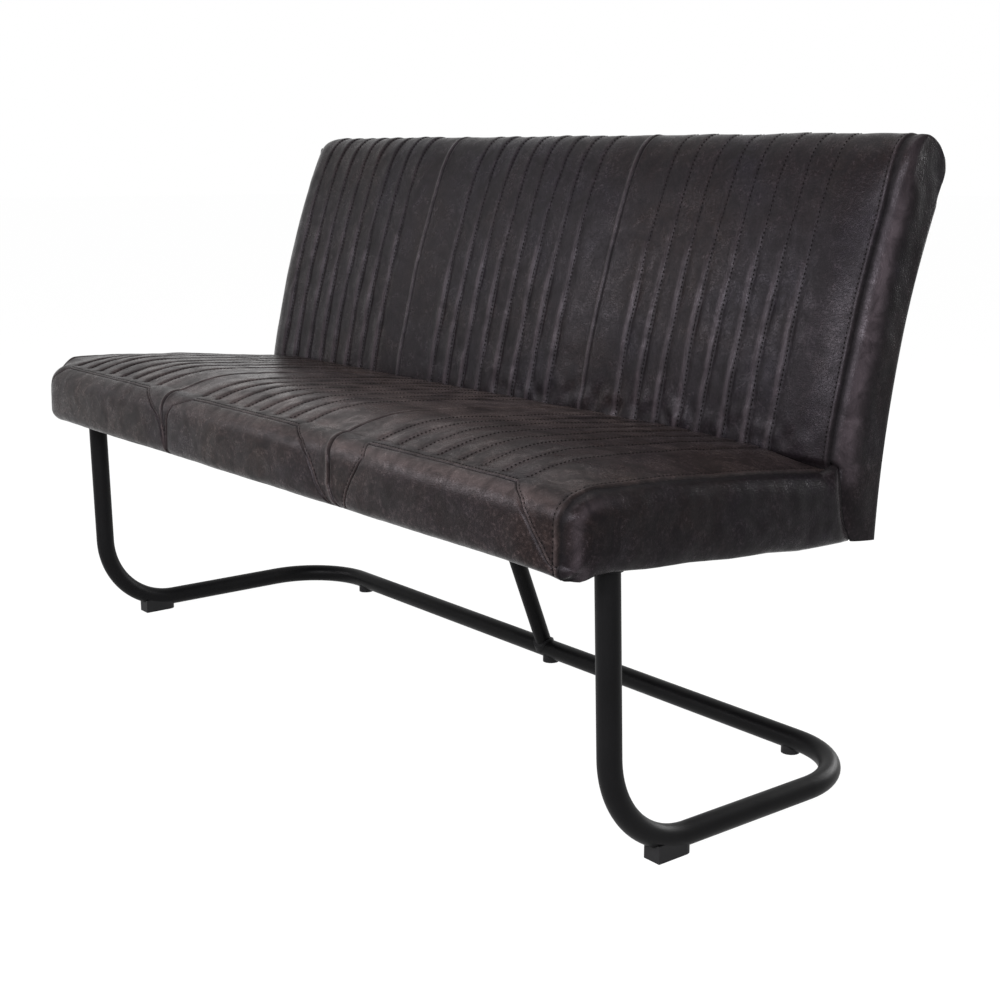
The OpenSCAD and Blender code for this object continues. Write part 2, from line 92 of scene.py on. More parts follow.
def set_inputs(node, **values):
    for key, value in values.items():
        feed(node.id_data, value, node.inputs[key.replace("_", " ")])
    return node


def math_node(tree, operation, one, two, clamp=False):
    node = add_node(tree, "Math", operation=operation, use_clamp=clamp)
    feed(tree, one, node.inputs[0])
    feed(tree, two, node.inputs[1])
    return node.outputs[0]


def product(tree, one, two):
    return math_node(tree, "MULTIPLY", one, two)


def seen_rays(tree):
    path = add_node(tree, "LightPath")
    either = math_node(tree, "MAXIMUM", path.outputs["Is Camera Ray"], path.outputs["Is Glossy Ray"])
    return math_node(tree, "MAXIMUM", either, path.outputs["Is Transmission Ray"])


def mix_shaders(tree, share, one, two, output):
    mix = add_node(tree, "MixShader")
    for socket, value in zip(mix.inputs, (share, one.outputs[0], two.outputs[0])):
        tree.links.new(value, socket)
    tree.links.new(mix.outputs[0], output.inputs["Surface"])


def add_mesh(name, points, faces, material, rounded=True):
    mesh = bpy.data.meshes.new(name)
    mesh.from_pydata([tuple(p) for p in points], [], faces)
    mesh.update()
    if rounded:
        mesh.shade_smooth()
    piece = bpy.data.objects.new(name, mesh)
    scene.collection.objects.link(piece)
    piece.data.materials.append(material)
    return piece


def soft_box(name, place, aim, size, power, colour):
    lamp = bpy.data.lights.new(name, "AREA")
    lamp.shape = "RECTANGLE"
    lamp.size, lamp.size_y = size
    lamp.energy = power
    lamp.color = colour
    box = bpy.data.objects.new(name, lamp)
    box.location = place
    box.rotation_euler = (Vector(aim) - Vector(place)).to_track_quat("-Z", "Y").to_euler()
    scene.collection.objects.link(box)


world = bpy.data.worlds.new("Studio air")
world.use_nodes = True
scene.world = world
air = world.node_tree
air.nodes.clear()
air_out = air.nodes.new("ShaderNodeOutputWorld")
air_seen = set_inputs(add_node(air, "Background"), Color=(1, 1, 1, 1), Strength=1.0)
air_light = set_inputs(add_node(air, "Background"), Color=(0.97, 0.98, 1, 1), Strength=0.12)
mix_shaders(air, seen_rays(air), air_light, air_seen, air_out)

floor_half = 30
floor_material, floor_tree, floor_out = new_material("Studio floor")
floor_paint = set_inputs(add_node(floor_tree, "BsdfDiffuse"), Color=(0.93, 0.93, 0.93, 1))
floor_white = set_inputs(add_node(floor_tree, "Emission"), Color=(1, 1, 1, 1), Strength=1.07)
mix_shaders(floor_tree, product(floor_tree, seen_rays(floor_tree), 0.92), floor_paint, floor_white, floor_out)
floor_corners = [(floor_half * x, floor_half * y, 0) for x, y in ((-1, -1), (1, -1), (1, 1), (-1, 1))]
floor = add_mesh("studio_floor", floor_corners, [(0, 1, 2, 3)], floor_material, rounded=False)

for name, place, power in (
        ("Far right soft box", (2.5, -1.95, 1.75), 60), ("Right soft box", (1.34, -2.55, 1.9), 62),
        ("Front soft box", (0.36, -2.86, 1.8), 44), ("Left soft box", (-0.91, -2.69, 1.8), 16),
        ("Far left soft box", (-1.91, -2.13, 1.7), 24)):
    soft_box(name, place, (0.1, 0.1, 0.6), (1.1, 0.8), power, (0.99, 0.965, 1))
soft_box("Top soft box", (0.2, 0.0, 3.4), (0, 0.1, 0.5), (2.4, 1.8), 55, (1, 0.97, 0.96))
soft_box("Rear soft box", (0.4, 3.2, 1.1), (0, 0.3, 0.6), (1.8, 0.9), 60, (1, 1, 1))


# Tube frame
# Two bent side tubes, the rear tube with its two floor corners and the slanted strut are one weldment
# of 32 mm steel tube. It is powder coated in satin black, a film with a fine orange peel.
def new_group(name, inputs, outputs):
    tree = bpy.data.node_groups.new(name, "ShaderNodeTree")
    for sockets, in_out in ((inputs, "INPUT"), (outputs, "OUTPUT")):
        for label, kind in sockets.items():
            tree.interface.new_socket(name=label, in_out=in_out, socket_type="NodeSocket" + kind)
    place = add_node(tree, "TexCoord").outputs["Object"]
    return tree, tree.nodes.new("NodeGroupInput").outputs, tree.nodes.new("NodeGroupOutput"), place


def use_group(tree, group, **values):
    node = tree.nodes.new("ShaderNodeGroup")
    node.node_tree = group
    return set_inputs(node, **values)


def blend_colours(tree, share, one, two):
    node = add_node(tree, "Mix", data_type="RGBA")
    for k, value in ((0, share), (6, one), (7, two)):
        feed(tree, value, node.inputs[k])
    return node.outputs[2]


def noise_at(tree, place, scale, detail, rough, warp=0.0):
    node = set_inputs(add_node(tree, "TexNoise"), Vector=place, Scale=scale, Detail=detail, Roughness=rough,
                      Distortion=warp)
    return node.outputs["Fac"]


def span(tree, value, low, high, to_low=0.0, to_high=1.0):
    node = set_inputs(add_node(tree, "MapRange", clamp=True), Value=value, From_Min=low, From_Max=high,
                      To_Min=to_low, To_Max=to_high)
    return node.outputs["Result"]


def weighed(tree, one, part, two, rest):
    return math_node(tree, "ADD", product(tree, one, part), product(tree, two, rest))


def add_skin(tree, output, colour, roughness, height, strength, depth, **shader):
    bump = set_inputs(add_node(tree, "Bump"), Height=height, Strength=strength, Distance=depth)
    skin = set_inputs(add_node(tree, "BsdfPrincipled"), Base_Color=colour, Roughness=roughness,
                      Normal=bump.outputs["Normal"], **shader)
    tree.links.new(skin.outputs["BSDF"], output.inputs["Surface"])


# Fine cloudy speckle: lighter and darker grains, a patchy gloss and a pebbled height
speckle, speckle_in, speckle_out, speckle_place = new_group(
    "Fine speckle", {"Grain scale": "Float", "Patch scale": "Float", "Dark": "Color", "Light": "Color",
                     "Gloss low": "Float", "Gloss high": "Float"},
    {"Color": "Color", "Roughness": "Float", "Height": "Float"})
grains = noise_at(speckle, speckle_place, speckle_in["Grain scale"], 2.0, 0.6)
patches = noise_at(speckle, speckle_place, speckle_in["Patch scale"], 4.0, 0.55)
speckle_share = span(speckle, weighed(speckle, grains, 0.45, patches, 0.55), 0.35, 0.65)
set_inputs(speckle_out, Height=grains,
           Color=blend_colours(speckle, speckle_share, speckle_in["Dark"], speckle_in["Light"]),
           Roughness=span(speckle, patches, 0.3, 0.7, speckle_in["Gloss low"], speckle_in["Gloss high"]))


def speckled(name, dark, light, gloss, grain, patch, bump, strength, **shader):
    material, tree, output = new_material(name)
    group = use_group(tree, speckle, Grain_scale=grain, Patch_scale=patch, Dark=(*dark, 1), Light=(*light, 1),
                      Gloss_low=gloss[0], Gloss_high=gloss[1]).outputs
    add_skin(tree, output, group["Color"], group["Roughness"], group["Height"], strength, bump, **shader)
    return material


def finish_nodes(names, material):
    for name in names:
        nodes_of_cad[name].data.materials.clear()
        nodes_of_cad[name].data.materials.append(material)


powder_coat = speckled("Satin black powder coat", (0.0022, 0.0022, 0.0024), (0.004, 0.004, 0.0043),
                       gloss=(0.36, 0.5), grain=620.0, patch=9.0, bump=0.00008, strength=0.45,
                       Specular_IOR_Level=0.065)
finish_nodes(["side_tube_left", "side_tube_right", "rear_tube", "centre_strut"], powder_coat)


# Welds and plates
# A fillet weld runs round each joint of the frame, and three plates are welded to the tube tops under the
# seat. They carry the same coating, rougher over the ripples of the weld.
weld_coat = speckled("Coated weld", (0.004, 0.004, 0.0043), (0.008, 0.008, 0.0085), gloss=(0.4, 0.55),
                     grain=260.0, patch=40.0, bump=0.0004, strength=0.8, Specular_IOR_Level=0.11)
finish_nodes(["weld_beads"], weld_coat)
finish_nodes(["leg_plate_left", "leg_plate_right", "strut_plate"], powder_coat)


# Feet
# Two moulded blocks under the front bends and three round glides under the rear tube, all in black plastic.
# Their sides have a fine spark texture, and a peg snaps each one into its tube.
foot_plastic = speckled("Textured black plastic", (0.005, 0.005, 0.0053), (0.010, 0.010, 0.0105),
                        gloss=(0.48, 0.64), grain=1500.0, patch=30.0, bump=0.00005, strength=0.6,
                        Specular_IOR_Level=0.14)
finish_nodes(["front_foot_left", "front_foot_right", "rear_glide_left", "rear_glide_middle",
              "rear_glide_right"], foot_plastic)


# Fasteners
# Zinc-plated button-head bolts, flat washers and tee nuts hold the plates and the back's rail.
# Bright steel with the soft cloudiness of the plating.
zinc_plate = speckled("Zinc plate", (0.42, 0.43, 0.45), (0.62, 0.63, 0.65), gloss=(0.24, 0.4), grain=400.0,
                      patch=60.0, bump=0.00003, strength=0.4, Metallic=1.0)
finish_nodes(["frame_bolts", "frame_washers", "frame_tee_nuts", "back_bolts", "back_tee_nuts"], zinc_plate)


# Timber carcass
# Boards, rails and posts of sawn pine and birch plywood, glued and screwed, and hidden under the upholstery.
# The grain runs along the bench, with darker late wood and a dry, rough surface.
wood_material, wood_tree, wood_out = new_material("Sawn timber")
wood_place = set_inputs(add_node(wood_tree, "Mapping"), Scale=(1.6, 14, 14),
                        Vector=add_node(wood_tree, "TexCoord").outputs["Object"]).outputs["Vector"]
wood_rings = set_inputs(add_node(wood_tree, "TexWave", wave_type="RINGS", rings_direction="X"),
                        Vector=wood_place, Scale=1.7, Distortion=5.0, Detail=3.0,
                        Detail_Scale=1.4).outputs["Fac"]
wood_fibre = noise_at(wood_tree, wood_place, 22.0, 4.0, 0.6)
wood_colour = blend_colours(wood_tree, weighed(wood_tree, wood_rings, 0.7, wood_fibre, 0.3),
                            (0.46, 0.29, 0.14, 1), (0.66, 0.47, 0.27, 1))
wood_gloss = span(wood_tree, wood_fibre, 0.3, 0.7, 0.6, 0.8)
add_skin(wood_tree, wood_out, wood_colour, wood_gloss, wood_fibre, 0.4, 0.0003)
finish_nodes(["seat_rear_board", "seat_side_board_left", "seat_side_board_right", "seat_cross_board_left",
              "seat_cross_board_right", "back_post_left", "back_post_right", "back_middle_post_left",
              "back_middle_post_right", "back_top_rail", "back_bottom_rail"], wood_material)

# Sizes from here on are in millimetres. y is counted from the front legs, and the bench's middle lies behind
# them. The seat slopes, so its own frame runs back along the slope (v) and up from its underside (w).
middle_y = 226.225
seat_low_z = 395
tilt = math.radians(4.3)


def bench_points(x, y, z):
    return np.stack([np.asarray(x) / 1000, (np.asarray(y) - middle_y) / 1000, np.asarray(z) / 1000], -1)


def seat_height(v, w):
    return seat_low_z - v * math.sin(tilt) + w * math.cos(tilt)


def seat_points(x, v, w):
    return bench_points(x, v * math.cos(tilt) + w * math.sin(tilt), seat_height(v, w))


# The front board and the rail on it have their corners cut back under the round corners of the cover
board_half, chamfer = 722, 1.2


def ring_faces(rings, n):
    # Faces between closed rings of n points each, and one face on either end
    faces = [(i * n + j, i * n + (j + 1) % n, (i + 1) * n + (j + 1) % n, (i + 1) * n + j)
             for i in range(rings - 1) for j in range(n)]
    return faces + [tuple(range(n))[::-1], tuple(range((rings - 1) * n, rings * n))]


def corner_cut_board(name, node, left_corner, v_rear, low, high):
    plan = left_corner + [(700, -87.4), (716, -74), (board_half, -64), (board_half, v_rear)]
    points = []
    for w, inset in ((low, chamfer), (low + chamfer, 0.0), (high - chamfer, 0.0), (high, chamfer)):
        for x, v in plan:
            v_in = v + (inset if v < -80 else 0) - (inset if v == v_rear else 0)
            points.append((x * (1 - inset / board_half), v_in, w))
    piece = add_mesh(name, seat_points(*np.array(points).T), [f[::-1] for f in ring_faces(4, len(plan))],
                     wood_material, rounded=False)
    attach(piece, "root")
    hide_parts(node)


corner_cut_board("Seat_front_board", "seat_front_board", [(-714, -46), (-708, -55), (-692, -69), (-668, -84)],
                 v_rear=-46.0, low=6.4, high=27.4)
corner_cut_board("Seat_front_rail", "seat_front_rail", [(-696, -66), (-690, -70), (-668, -84)],
                 v_rear=-66.0, low=27.5, high=61.0)


# Seat webbing
# Nine elastic straps run from front to rear over the boards and three cross them along the bench.
# Woven rubber-cored webbing, pulled tight and stapled at its ends.
def grid_faces(rows, columns, first=0, flip=False):
    faces = []
    for i in range(rows - 1):
        for j in range(columns - 1):
            a = first + i * columns + j
            face = (a, a + 1, a + columns + 1, a + columns)
            faces.append(face[::-1] if flip else face)
    return faces


def woven_material(name, dark, light, pitch, turn_to=0.0):
    material, tree, output = new_material(name)
    place = add_node(tree, "TexCoord").outputs["Object"]
    turned = set_inputs(add_node(tree, "Mapping"), Rotation=(0, 0, turn_to), Vector=place).outputs["Vector"]
    threads = [set_inputs(add_node(tree, "TexWave", wave_type="BANDS", bands_direction=direction),
                          Vector=turned, Scale=3.14 / pitch, Distortion=0.6, Detail=1.0).outputs["Fac"]
               for direction in ("X", "Y")]
    weave = product(tree, threads[0], threads[1])
    height = weighed(tree, weave, 0.7, noise_at(tree, place, 240.0, 3.0, 0.6), 0.3)
    add_skin(tree, output, blend_colours(tree, height, (*dark, 1), (*light, 1)),
             span(tree, height, 0.1, 0.9, 0.95, 0.8), height, 0.6, 0.0004, Sheen_Weight=0.25,
             Specular_IOR_Level=0.2)
    return material


strap_material = woven_material("Elastic webbing", (0.03, 0.028, 0.026), (0.09, 0.085, 0.08), 0.0022)


def strap_points(length, rows, width=60.0):
    along = np.linspace(0, length, rows)
    across = width * np.array([-0.5, -0.49, -0.32, -0.1, 0.1, 0.32, 0.49, 0.5])
    thick = np.array([0.2, 0.85, 1.0, 0.94, 0.94, 1.0, 0.85, 0.2])
    return along, across, thick


def add_strap(points, faces, upper, lower):
    rows, columns = upper.shape[:2]
    start = len(points)
    points.extend(upper.reshape(-1, 3))
    points.extend(lower.reshape(-1, 3))
    low = start + rows * columns
    faces.extend(grid_faces(rows, columns, start))
    faces.extend(grid_faces(rows, columns, low, flip=True))
    for i in range(rows - 1):
        a, b = start + i * columns, low + i * columns
        faces.append((a, a + columns, b + columns, b))
        faces.append((a + columns - 1, b + columns - 1, b + 2 * columns - 1, a + 2 * columns - 1))
    for j in range(columns - 1):
        a, b = start + j, low + j
        faces.append((a, b, b + 1, a + 1))
        a, b = start + (rows - 1) * columns + j, low + (rows - 1) * columns + j
        faces.append((a, a + 1, b + 1, b))


web_points, web_faces = [], []
strap_w, strap_thick = 27.45, 1.9
along, across, thick = strap_points(370.0, 25)
for x in range(-580, 581, 145):
    v, u = np.meshgrid(-62 + along, across, indexing="ij")
    top = strap_w + np.broadcast_to(strap_thick * thick, v.shape)
    add_strap(web_points, web_faces, seat_points(x + u, v, top), seat_points(x + u, v, v * 0 + strap_w))
along, across, thick = strap_points(1300.0, 60)
for v in (25, 125, 225):
    x, u = np.meshgrid(-650 + along, across, indexing="ij")
    top = strap_w + 2.0 + np.broadcast_to(strap_thick * thick, x.shape)
    low = x * 0 + strap_w + 1.97
    add_strap(web_points, web_faces, seat_points(x, v - u, top), seat_points(x, v - u, low))
seat_web = add_mesh("Seat_straps", web_points, web_faces, strap_material)
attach(seat_web, "root")
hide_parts("seat_webbing")


# Seat foam
# One slab of firm cut foam lies on the straps and is shaped round the front rail.
# Cream open-cell foam with knife marks, a little compressed under the cover's seams.
foam_material = speckled("Cut foam", (0.62, 0.52, 0.3), (0.8, 0.7, 0.46), gloss=(0.85, 0.95), grain=1100.0,
                         patch=25.0, bump=0.0005, strength=0.7, Specular_IOR_Level=0.2)

# The seat's front edge in the side plane: radius and height of its upper roll, and radius of its lower one
edge_r, edge_w, low_r = 38.5, 63.0, 18.0
front_y, face_turn = -105, 184.3


def face_centre(r, w):
    return (r + front_y - w * math.sin(tilt)) / math.cos(tilt)


edge_v, low_v = face_centre(edge_r, edge_w), face_centre(low_r, low_r)


def arc(cy, cz, r, degrees):
    a = np.radians(degrees)
    return np.stack([cy + r * np.cos(a), cz + r * np.sin(a)], -1)


def slab(name, outline, x_half, columns, material, to_bench):
    xs = x_half * np.sin(np.linspace(-math.pi / 2, math.pi / 2, columns))
    n = len(outline)
    points = np.concatenate([to_bench(np.full(n, x), outline[:, 0], outline[:, 1]) for x in xs])
    return add_mesh(name, points, ring_faces(columns, n), material)


foam_low, foam_top, foam_r = 31.6, 85.4, 22.4
foam_outline = np.concatenate([
    [[334.0, 31.8], [330.0, foam_low]], np.stack([np.linspace(300, -65, 20), np.full(20, foam_low)], -1),
    [[-65.0, 63.2]], arc(edge_v, edge_w, foam_r, np.linspace(face_turn, 90, 14)),
    np.stack([np.linspace(-60, 330, 22), np.full(22, foam_top)], -1), [[334.0, 83.0], [334.6, 60.0]]])
seat_foam = slab("Seat_foam", foam_outline, 700.0, 16, foam_material, seat_points)
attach(seat_foam, "root")
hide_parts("seat_foam")


# Dust cover
# One sheet of black spun cloth is stapled flat under the seat, over the boards' edges.
# It sags a little between the staples. The plates and their bolts lie on its underside.
dust_material = woven_material("Spun dust cloth", (0.008, 0.008, 0.009), (0.028, 0.028, 0.03), 0.0016, 0.785)
dust_front, dust_rear, dust_half, dust_w, cloth = -79, 399, 708, 5.15, 0.7
dust_rows, dust_columns = 49, 97
dust_x, dust_v = np.meshgrid(np.linspace(-dust_half, dust_half, dust_columns),
                             np.linspace(dust_front, dust_rear, dust_rows))
to_edge = np.minimum(dust_v - dust_front, dust_rear - dust_v)
dust_low = dust_w + 0.25 * (0.5 + 0.5 * np.sin(dust_x / 72 * math.pi) * np.exp(-to_edge / 40))
dust_points = np.concatenate([seat_points(dust_x, dust_v, dust_low + rise).reshape(-1, 3)
                              for rise in (0, cloth)])
one_side = dust_rows * dust_columns
dust_ids = np.arange(one_side).reshape(dust_rows, dust_columns)
dust_rim = np.concatenate([dust_ids[0], dust_ids[1:, -1], dust_ids[-1, -2::-1],
                           dust_ids[-2:0:-1, 0]]).tolist()
dust_faces = grid_faces(dust_rows, dust_columns, flip=True) + grid_faces(dust_rows, dust_columns, one_side)
dust_faces += [(a, b, b + one_side, a + one_side) for a, b in zip(dust_rim, dust_rim[1:] + dust_rim[:1])]
dust_cover = add_mesh("Dust_cover", dust_points, dust_faces, dust_material)
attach(dust_cover, "root")
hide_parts("seat_dust_cover")


# Seat cover
# Three sewn sections of dark vintage leather. Each has a channelled top panel with eight pin-tucked rows,
# and a plain front band let in below it, so that the plain strips beside it run down to the lower edge.

# Cloudy leather colour: worn brown and violet-grey patches, a lighter rubbed colour that is partly wear and
# partly painted highlight, and painted shade in the seams
mottle, mottle_in, mottle_out, mottle_place = new_group(
    "Vintage leather colour", {"Deep": "Color", "Warm": "Color", "Cool": "Color", "Rubbed": "Color",
                               "Cloud scale": "Float", "Rub": "Float", "Groove": "Float"},
    {"Color": "Color", "Roughness": "Float"})
# The groove colour is painted shade: near black in seams, tuck valleys and creases
groove_shade = (0.0015, 0.0013, 0.0014, 1)
clouds = noise_at(mottle, mottle_place, mottle_in["Cloud scale"], 5.0, 0.6, 0.4)
small_clouds = noise_at(mottle, mottle_place, 30.0, 6.0, 0.68, 0.9)
flecks = noise_at(mottle, mottle_place, 210.0, 3.0, 0.65, 0.5)
# The rub mask is real wear on the seat top, and a painted highlight on ridges, rolls and seam lips
rubsheen_part = product(mottle, mottle_in["Rub"], span(mottle, small_clouds, 0.3, 0.7, 0.2, 0.9))
flecked_part = product(mottle, span(mottle, flecks, 0.52, 0.72),
                       span(mottle, small_clouds, 0.4, 0.62, 0.05, 0.42))
wear_and_sheen = math_node(mottle, "ADD", rubsheen_part, flecked_part, clamp=True)
leather_tone = blend_colours(mottle, span(mottle, clouds, 0.36, 0.64), mottle_in["Warm"], mottle_in["Cool"])
leather_tone = blend_colours(mottle, span(mottle, small_clouds, 0.34, 0.64), mottle_in["Deep"], leather_tone)
for share, colour in ((span(mottle, flecks, 0.35, 0.55, 0.55, 0.0), mottle_in["Deep"]),
                      (wear_and_sheen, mottle_in["Rubbed"]), (product(mottle, mottle_in["Groove"], 0.8), groove_shade)):
    leather_tone = blend_colours(mottle, share, leather_tone, colour)
leather_gloss = span(mottle, small_clouds, 0.32, 0.68, 0.44, 0.25)
for operation, mask, part in (("SUBTRACT", span(mottle, flecks, 0.4, 0.65), 0.06), ("SUBTRACT", wear_and_sheen, 0.08),
                              ("ADD", mottle_in["Groove"], 0.3)):
    leather_gloss = math_node(mottle, operation, leather_gloss, product(mottle, mask, part))
set_inputs(mottle_out, Color=leather_tone, Roughness=leather_gloss)

# Leather grain: small pebbles cut by finer and coarser creases
grain, grain_in, grain_out, grain_place = new_group(
    "Leather grain", {"Pebble scale": "Float", "Crease scale": "Float"}, {"Height": "Float"})
bend_noise = set_inputs(add_node(grain, "TexNoise"), Vector=grain_place, Scale=26.0, Detail=3.0)
bent_place = add_node(grain, "Mix", data_type="VECTOR")
for k, value in ((0, 0.012), (4, grain_place), (5, bend_noise.outputs["Color"])):
    feed(grain, value, bent_place.inputs[k])


def grain_cells(label, feature, high):
    cells = set_inputs(add_node(grain, "TexVoronoi", feature=feature), Vector=bent_place.outputs[1],
                       Scale=grain_in[label])
    return span(grain, cells.outputs["Distance"], 0.0, high)


pebbles = math_node(grain, "SUBTRACT", 1.0, grain_cells("Pebble scale", "F1", 0.7))
creases = grain_cells("Crease scale", "DISTANCE_TO_EDGE", 0.08)
set_inputs(grain_out, Height=weighed(grain, pebbles, 0.5, creases, 0.5))


def leather(name, deep, warm, cool, rub_and_sheen):
    material, tree, output = new_material(name)
    marks = {label: add_node(tree, "Attribute", attribute_name=label.lower()).outputs["Fac"]
             for label in ("Rub", "Groove")}
    colour = use_group(tree, mottle, Deep=(*deep, 1), Warm=(*warm, 1), Cool=(*cool, 1), Rubbed=(*rub_and_sheen, 1),
                       Cloud_scale=6.0, **marks).outputs
    fine = use_group(tree, grain, Pebble_scale=600.0, Crease_scale=210.0)
    add_skin(tree, output, colour["Color"], colour["Roughness"], fine.outputs["Height"], 0.5, 0.0003,
             Specular_IOR_Level=0.08, Specular_Tint=(0.96, 0.92, 1.0, 1))
    return material


seat_leather = leather("Seat leather", deep=(0.0040, 0.0029, 0.0028), warm=(0.0150, 0.0100, 0.0088),
                       cool=(0.0096, 0.0074, 0.0092), rub_and_sheen=(0.064, 0.050, 0.048))
# A darker copy of the same leather, painted in shade, for the back, its ends and rear cover, and the seat's
# ends
shaded_leather_copy = leather("Leather, darker copy for painted shade", deep=(0.0028, 0.0021, 0.0024), warm=(0.0085, 0.0057, 0.0053),
                       cool=(0.0068, 0.0056, 0.0078), rub_and_sheen=(0.044, 0.036, 0.040))

# The seams along the bench, and the eight rows of each section about its own middle
end_seam_x, section_seam_x = 724.0, 245.5
section_edge = [-end_seam_x, -section_seam_x, section_seam_x, end_seam_x]
section_names = ["left", "middle", "right"]
seat_middles = [-482.0, -14.0, 479.0]
pitch, lines = 44.5, 8

# Across a tucked row: a soft ridge on its left, and a fold on its right
tuck_at = np.array([-30, -22, -16, -12, -9, -7, -5, -3.5, -2.2, -1.2, 0, 1.2, 2.4, 4, 6, 9, 13, 17, 30.0])
tuck_rise = np.array([0, 0.3, 1.15, 1.95, 2.5, 2.75, 2.7, 2.2, 1.3, 0.1, -1.0, -1.5, -1.5, -1.2, -0.8, -0.4,
                      -0.15, 0, 0])

# Felled seams have two rows of stitches that lie this far apart, and end seams one row this far in
second_row, topstitch = 6.2, 7.5


def bell(t, middle, width):
    return np.exp(-((t - middle) / width) ** 2)


def ramp(distance, length):
    return np.clip(distance / length, 0, 1)


def smooth(value, low, high):
    share = ramp(value - low, high - low)
    return share * share * (3 - 2 * share)


def section_seam(t):
    return -3.0 * bell(t, 0, 1.6) + 1.3 * bell(t, -5, 3.2) + 0.4 * bell(t, 5, 3.2)


def felled(t):
    return (-1.7 * bell(t, 0, 1.4) - 0.6 * bell(t, second_row, 1.3) + 0.8 * bell(t, 3.1, 1.6)
            + 0.3 * bell(t, -5, 3.5))


def felled_marks(t, share, groove, rub):
    # Painted shade in the two stitch lines, and a painted highlight on the ridge between them
    groove = np.maximum(groove, share * np.maximum(bell(t, 0, 1.2), 0.25 * bell(t, second_row, 1.3)))
    return groove, np.maximum(rub, 0.5 * share * bell(t, 3.1, 1.6))


def end_seam(t):
    return (-2.4 * bell(t, 0, 1.7) - 0.5 * bell(t, topstitch, 1.4) + 1.1 * bell(t, 4.0, 2.0)
            + 0.3 * bell(t, 12, 3.0))


def end_seam_marks(t, rub_and_sheen, groove, rub):
    # Painted shade in the seam and its topstitch line, and a painted highlight on the lip beside the seam
    groove = np.maximum(groove, np.maximum(bell(t, 0, 1.6), 0.2 * bell(t, topstitch, 1.2)))
    return groove, np.maximum(rub, rub_and_sheen * bell(t, 4, 1.8))


def line_places(middle):
    return middle + (np.arange(lines) - (lines - 1) / 2) * pitch


def pillow(x, middle):
    # The leather swells between two rows
    share = (x - line_places(middle)[0]) / pitch
    inside = ramp(share + 1.0, 0.5) * ramp(lines - share, 0.5)
    part = share - np.floor(share)
    return inside * (4 * part * (1 - part) - 0.5)


def drift(k, middle, s):
    # Each row was sewn by hand and eye: it wanders by about a millimetre
    phase = k * 2.4 + middle * 0.013
    return 0.9 * np.sin(s / 57 + phase) + 0.5 * np.sin(s / 23 + 1.7 * phase)


def channels(x, s, middle, height):
    rise, groove, rub = np.zeros_like(x), np.zeros_like(x), np.zeros_like(x)
    for k, row_x in enumerate(line_places(middle)):
        t = x - row_x - drift(k, middle, s)
        own = height * (0.9 + 0.22 * np.sin(s / 31 + k * 1.9 + middle) + 0.12 * np.sin(s / 11 + k * 3.1))
        rise += own * np.interp(t, tuck_at, tuck_rise)
        # Painted shade in each row's valley, and a painted highlight on the ridge to its left
        groove = np.maximum(groove, (0.15 + 0.35 * ramp(own, 1)) * bell(t, 0.6, 1.3))
        rub = np.maximum(rub, 0.8 * ramp(own, 1) * bell(t, -6.0, 3.8))
    return rise, groove, rub


def column_places(low, high, middle, at_left_end, at_right_end):
    rows = line_places(middle)
    xs = [row_x + t for row_x in rows for t in tuck_at[1:-1]]
    edge = [0, 0.8, 1.8, 3.0, 4.4, 5.8, 7.0, 8.2, 9.6, 12, 15, 19]
    first, last = xs[0], xs[-1]
    xs += [low + t for t in edge] + [high - t for t in edge]
    xs += list(np.linspace(low + edge[-1], first, 7 + 5 * at_left_end)[1:-1])
    xs += list(np.linspace(last, high - edge[-1], 7 + 5 * at_right_end)[1:-1])
    return np.unique(np.round(xs, 3))


def run_along(line):
    return np.concatenate([[0], np.cumsum(np.linalg.norm(np.diff(line, axis=0), axis=1))])


def on_line(where, run, line):
    return [np.interp(where, run, line[:, k]) for k in range(line.shape[1])]


def path_of(pieces, rounds):
    # Steps of 1 mm along a line in the side plane that is eased by the given rounds, and the way out of it
    line = np.concatenate(pieces)
    gaps = np.linalg.norm(np.diff(line, axis=0), axis=1)
    line = line[np.concatenate([[True], gaps > 1e-6])]
    run = run_along(line)
    even = np.arange(0, run[-1], 1.0)
    at = np.stack(on_line(even, run, line), -1)
    for _ in range(rounds):
        at[1:-1] = 0.25 * at[:-2] + 0.5 * at[1:-1] + 0.25 * at[2:]
    along = np.gradient(at, axis=0)
    along /= np.linalg.norm(along, axis=1)[:, None]
    return even, at, np.stack([-along[:, 1], along[:, 0]], -1)


def seam_height(v):
    return 101.5 + 5 * (1 - ((v - 150) / 221) ** 2)


# The seat cover's path in the side plane: hem, lower edge, front face, upper edge and top
top_v = np.linspace(edge_v + 4, 338, 60)
seat_path_s, seat_path, seat_path_n = path_of([
    [[-62.0, 1.2], [low_v, 0.0]], arc(low_v, low_r, low_r, np.linspace(268, face_turn, 14)),
    arc(edge_v, edge_w, edge_r, np.linspace(face_turn, 90, 30)),
    np.stack([top_v, seam_height(top_v)], -1),
    [[344.0, seam_height(344) - 1.0], [347.5, seam_height(347) - 6.0], [348.0, 78.0]]], rounds=12)


def path_distance(path, run, target):
    return float(run[np.argmin(np.linalg.norm(path - np.asarray(target), axis=1))])


band_top = path_distance(seat_path, seat_path_s, arc(edge_v, edge_w, edge_r, 120.0))
top_start = path_distance(seat_path, seat_path_s, (edge_v, edge_w + edge_r))
top_end = path_distance(seat_path, seat_path_s, (330, seam_height(330)))
hem_end = path_distance(seat_path, seat_path_s, (low_v, 0.0))
seat_total = seat_path_s[-1]

